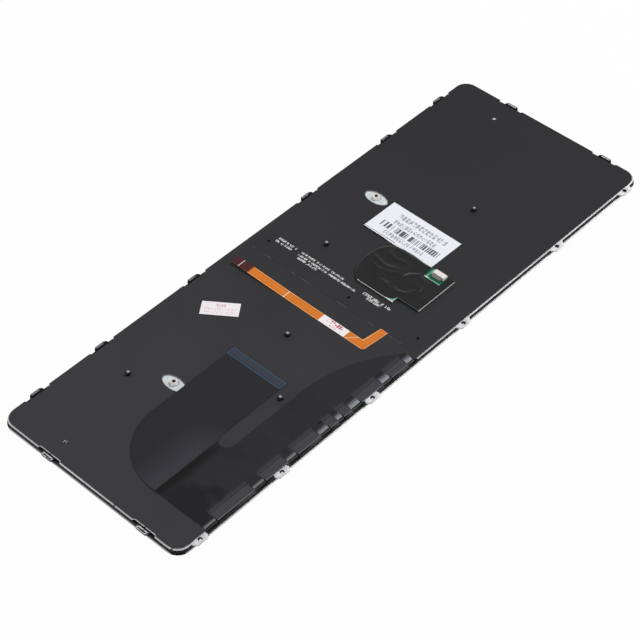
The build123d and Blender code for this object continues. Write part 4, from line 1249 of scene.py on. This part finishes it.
class KEYBOARD_OT_stage(bpy.types.Operator):
    """Pale floor, soft studio light and the camera"""

    bl_idname = "keyboard.stage"
    bl_label = "Stage"

    def execute(self, context):
        settings = stage_settings()
        self.floor(settings)
        self.world(settings)
        self.lamp("key_light", settings.key_place, settings.key_size, settings.key_power)
        self.lamp("fill_light", settings.fill_place, settings.fill_size, settings.fill_power)
        self.camera(settings)
        context.scene.view_settings.view_transform = "Standard"
        return {"FINISHED"}

    def floor(self, settings):
        """A pale floor that looks white and keeps a trace of the part's shadow."""
        bpy.ops.mesh.primitive_plane_add(size=settings.floor_size)
        floor = bpy.context.object
        floor.name = "studio_floor"
        s = Surface("studio_floor_white")
        rays = ("Is Camera Ray", "Is Glossy Ray", "Is Transmission Ray")
        camera, glossy, through = [s.node("ShaderNodeLightPath", out=ray) for ray in rays]
        s.finish(base_color=tuple(settings.floor_colour), roughness=0.7)
        glow = s.node("ShaderNodeEmission", None, {"Color": (1, 1, 1, 1), "Strength": 1.0})
        seen = camera.largest(glossy).largest(through) * settings.floor_glow
        both = s.node("ShaderNodeMixShader", None, {0: seen, 1: Value(s, s.shader.outputs[0]), 2: glow})
        s.output("ShaderNodeOutputMaterial", both)
        floor.data.materials.append(s.material)

    def world(self, settings):
        """White walls all round and a darker ceiling."""
        world = bpy.data.worlds.new("studio_world")
        bpy.context.scene.world = world
        world.use_nodes = True
        t = Tree(world.node_tree)
        height = t.parts(t.node("ShaderNodeTexCoord", out="Generated"))[2]
        level = t.ramp(height, 0.2, 0.6, settings.wall_light, settings.ceiling_light)
        soft = t.node("ShaderNodeBackground", None, {"Color": (1, 1, 1, 1), "Strength": level})
        t.output("ShaderNodeOutputWorld", soft)

    def lamp(self, name, place, size, power):
        """A round soft lamp, aimed at the part."""
        light = bpy.data.lights.new(name, "AREA")
        light.shape = "DISK"
        light.size = size
        light.energy = power
        lamp = bpy.data.objects.new(name, light)
        lamp.location = place
        lamp.rotation_euler = (-Vector(place)).to_track_quat("-Z", "Y").to_euler()
        bpy.context.scene.collection.objects.link(lamp)

    def camera(self, settings):
        """The camera at the photograph's place."""
        data = bpy.data.cameras.new("photo_camera")
        data.lens = settings.camera_lens
        data.sensor_width = 36.0
        data.clip_start, data.clip_end = 0.01, 20.0
        camera = bpy.data.objects.new("photo_camera", data)
        place, aim = Vector(settings.camera_place), Vector(settings.camera_aim)
        roll = Matrix.Rotation(settings.camera_roll, 3, "Z")
        turn = (aim - place).to_track_quat("-Z", "Y").to_matrix() @ roll
        camera.matrix_world = Matrix.Translation(place) @ turn.to_4x4()
        bpy.context.scene.collection.objects.link(camera)
        bpy.context.scene.camera = camera


# Settings a user would change

def colour_setting(name, words, colour):
    return FloatVectorProperty(name=name, description=words, subtype="COLOR", size=3, min=0.0, max=1.0,
                               default=colour)


def length_setting(name, words, millimetres):
    return FloatProperty(name=name, description=words, unit="LENGTH", subtype="DISTANCE", min=0.0,
                         precision=5, default=millimetres * MM)


def number_setting(name, words, number, **limits):
    return FloatProperty(name=name, description=words, default=number, **limits)


def place_setting(name, words, place):
    return FloatVectorProperty(name=name, description=words, subtype="XYZ", default=place)


class KeyboardColours(bpy.types.PropertyGroup):
    film: colour_setting("Back film", "Matt film over the whole back", srgb(55, 54, 58))
    cover_film: colour_setting("Cover film", "Film over the light strip", srgb(53, 52, 56))
    frame: colour_setting("Frame", "Moulded key frame", srgb(15, 15, 16))
    # The rim's tone at its left end, darkened there by painted shade
    rim: colour_setting("Rim", "Outer rim of the frame", srgb(196, 196, 199))
    steel: colour_setting("Steel", "Base plate", srgb(228, 228, 231))
    nut: colour_setting("Nut plates", "Plated steel", srgb(220, 227, 230))
    ribbon: colour_setting("Ribbon", "Printed film of the membrane", srgb(40, 39, 43))
    ribbon_low: colour_setting("Ribbon shade", "Dark places of the ribbon", srgb(17, 17, 18))
    # Colour of the painted highlight on the tongues' bends
    sheen: colour_setting("Sheen", "Bends of the ribbon's tongues", srgb(146, 150, 160))
    blue_film: colour_setting("Blue film", "Stiffener of the ribbon", srgb(56, 61, 73))
    blue_edge: colour_setting("Blue edge", "Cut edge of the stiffener", srgb(66, 126, 168))
    orange: colour_setting("Orange film", "Backlight cable", srgb(232, 130, 42))
    orange_trace: colour_setting("Cable grooves", "Between the cable's traces", srgb(150, 66, 22))
    red_film: colour_setting("Cable end", "Stiffener of the cable", srgb(84, 40, 46))
    label: colour_setting("Label", "Bar label paper", srgb(246, 247, 255))
    sticker: colour_setting("Stickers", "Small sticker paper", srgb(255, 250, 253))
    ink: colour_setting("Ink", "Black print", srgb(38, 38, 42))
    pink_ink: colour_setting("Pink ink", "Print of the tilted sticker", srgb(214, 120, 134))
    red_ink: colour_setting("Red ink", "Marks of the cable sticker", srgb(196, 42, 62))
    board: colour_setting("Board", "Solder mask", srgb(18, 112, 82))
    laminate: colour_setting("Laminate", "Cut edges of the board", srgb(238, 243, 236))
    connector: colour_setting("Connector", "Connector housing", srgb(250, 244, 240))
    latch: colour_setting("Latch", "Flip latch", srgb(92, 84, 86))
    tape: colour_setting("Tape", "Tape over the board", srgb(32, 31, 33))
    pin: colour_setting("Pins", "Locating pins", srgb(22, 22, 23))
    key: colour_setting("Keycaps", "Keycap moulding", srgb(36, 36, 38))
    link: colour_setting("Links", "Scissor links", srgb(210, 210, 206))
    dome: colour_setting("Domes", "Silicone domes", srgb(206, 206, 204))
    stick: colour_setting("Stick cap", "Rubber cap of the pointing stick", srgb(70, 72, 74))


class KeyboardDetail(bpy.types.PropertyGroup):
    edge_ease: length_setting("Edge ease", "Rounding of moulded and pressed edges", 0.1)
    cap_ease: length_setting("Cap ease", "Rounding of the keycaps", 0.28)
    sheet_pitch: length_setting("Ribbon net", "Spacing of the ribbon's mesh", 1.6)
    tape_pitch: length_setting("Tape net", "Spacing of the tape's mesh", 0.45)
    crease_rise: number_setting("Crease", "Rise of the ribbon's crease, millimetres", 0.35)
    tape_folds: number_setting("Tape folds", "Strength of the tape's wrinkles", 1.0)
    label_lift: number_setting("Label lift", "Strength of the label's lifted edge", 1.0)
    note_angle: number_setting("Note angle", "Turn of the small sticker, degrees", -54.0)
    hinge_keep: number_setting("Hinge keep", "Share of a hinge's height left at full travel", 0.46)


class KeyboardStage(bpy.types.PropertyGroup):
    floor_size: number_setting("Floor", "Side of the floor", 8.0, unit="LENGTH")
    floor_colour: colour_setting("Floor colour", "Plain pale floor", srgb(240, 240, 240))
    floor_glow: number_setting("Floor white", "Share of plain white in what the camera sees", 0.96,
                               min=0.0, max=1.0)
    wall_light: number_setting("Walls", "Strength of the light from all round", 1.0)
    ceiling_light: number_setting("Ceiling", "Strength of the light from above", 0.2)
    key_place: place_setting("Key light", "Place", (1.0, -0.35, 1.05))
    key_size: number_setting("Key size", "Width", 0.7, unit="LENGTH")
    key_power: number_setting("Key power", "Watts", 13.0)
    fill_place: place_setting("Fill light", "Place", (-0.8, 0.9, 1.2))
    fill_size: number_setting("Fill size", "Width", 1.0, unit="LENGTH")
    fill_power: number_setting("Fill power", "Watts", 8.0)
    camera_place: place_setting("Camera", "Place", (-0.4756, -0.4489, 0.6625))
    camera_aim: place_setting("Aim", "Point in the middle of the picture", (-0.01887, -0.00672, 0.0047))
    camera_roll: number_setting("Roll", "Turn about the view", math.radians(-1.26), subtype="ANGLE")
    camera_lens: number_setting("Lens", "Focal length, millimetres", 113.8)


class KEYBOARD_PT_pieces(bpy.types.Panel):
    """The keyboard's pieces, in the order in which they are made"""

    bl_idname = "KEYBOARD_PT_pieces"
    bl_label = "Laptop keyboard"
    bl_space_type = "VIEW_3D"
    bl_region_type = "UI"
    bl_category = "Keyboard"

    def draw(self, context):
        for operator in OPERATORS:
            self.layout.operator(operator.bl_idname)
        for settings in (colours(), detail(), stage_settings()):
            column = self.layout.column()
            for name in settings.__annotations__:
                column.prop(settings, name)


OPERATORS = (
    KEYBOARD_OT_frame_and_plate, KEYBOARD_OT_back_films, KEYBOARD_OT_ribbon, KEYBOARD_OT_backlight,
    KEYBOARD_OT_stick_board, KEYBOARD_OT_labels, KEYBOARD_OT_fixings, KEYBOARD_OT_pointing_stick,
    KEYBOARD_OT_keys, KEYBOARD_OT_hinges, KEYBOARD_OT_stage,
)
GROUPS = {
    "keyboard_colours": KeyboardColours,
    "keyboard_detail": KeyboardDetail,
    "keyboard_stage": KeyboardStage,
}


def register():
    for group in GROUPS.values():
        bpy.utils.register_class(group)
    for name, group in GROUPS.items():
        setattr(bpy.types.Scene, name, PointerProperty(type=group))
    for operator in OPERATORS:
        bpy.utils.register_class(operator)
    bpy.utils.register_class(KEYBOARD_PT_pieces)


def unregister():
    bpy.utils.unregister_class(KEYBOARD_PT_pieces)
    for operator in reversed(OPERATORS):
        bpy.utils.unregister_class(operator)
    for name, group in GROUPS.items():
        delattr(bpy.types.Scene, name)
        bpy.utils.unregister_class(group)


def main():
    """Makes the pieces in order."""
    register()
    bpy.ops.keyboard.frame_and_plate()
    bpy.ops.keyboard.back_films()
    bpy.ops.keyboard.ribbon()
    bpy.ops.keyboard.backlight()
    bpy.ops.keyboard.stick_board()
    bpy.ops.keyboard.labels()
    bpy.ops.keyboard.fixings()
    bpy.ops.keyboard.pointing_stick()
    bpy.ops.keyboard.keys()
    bpy.ops.keyboard.hinges()
    bpy.ops.keyboard.stage()


if __name__ == "__main__":
    main()
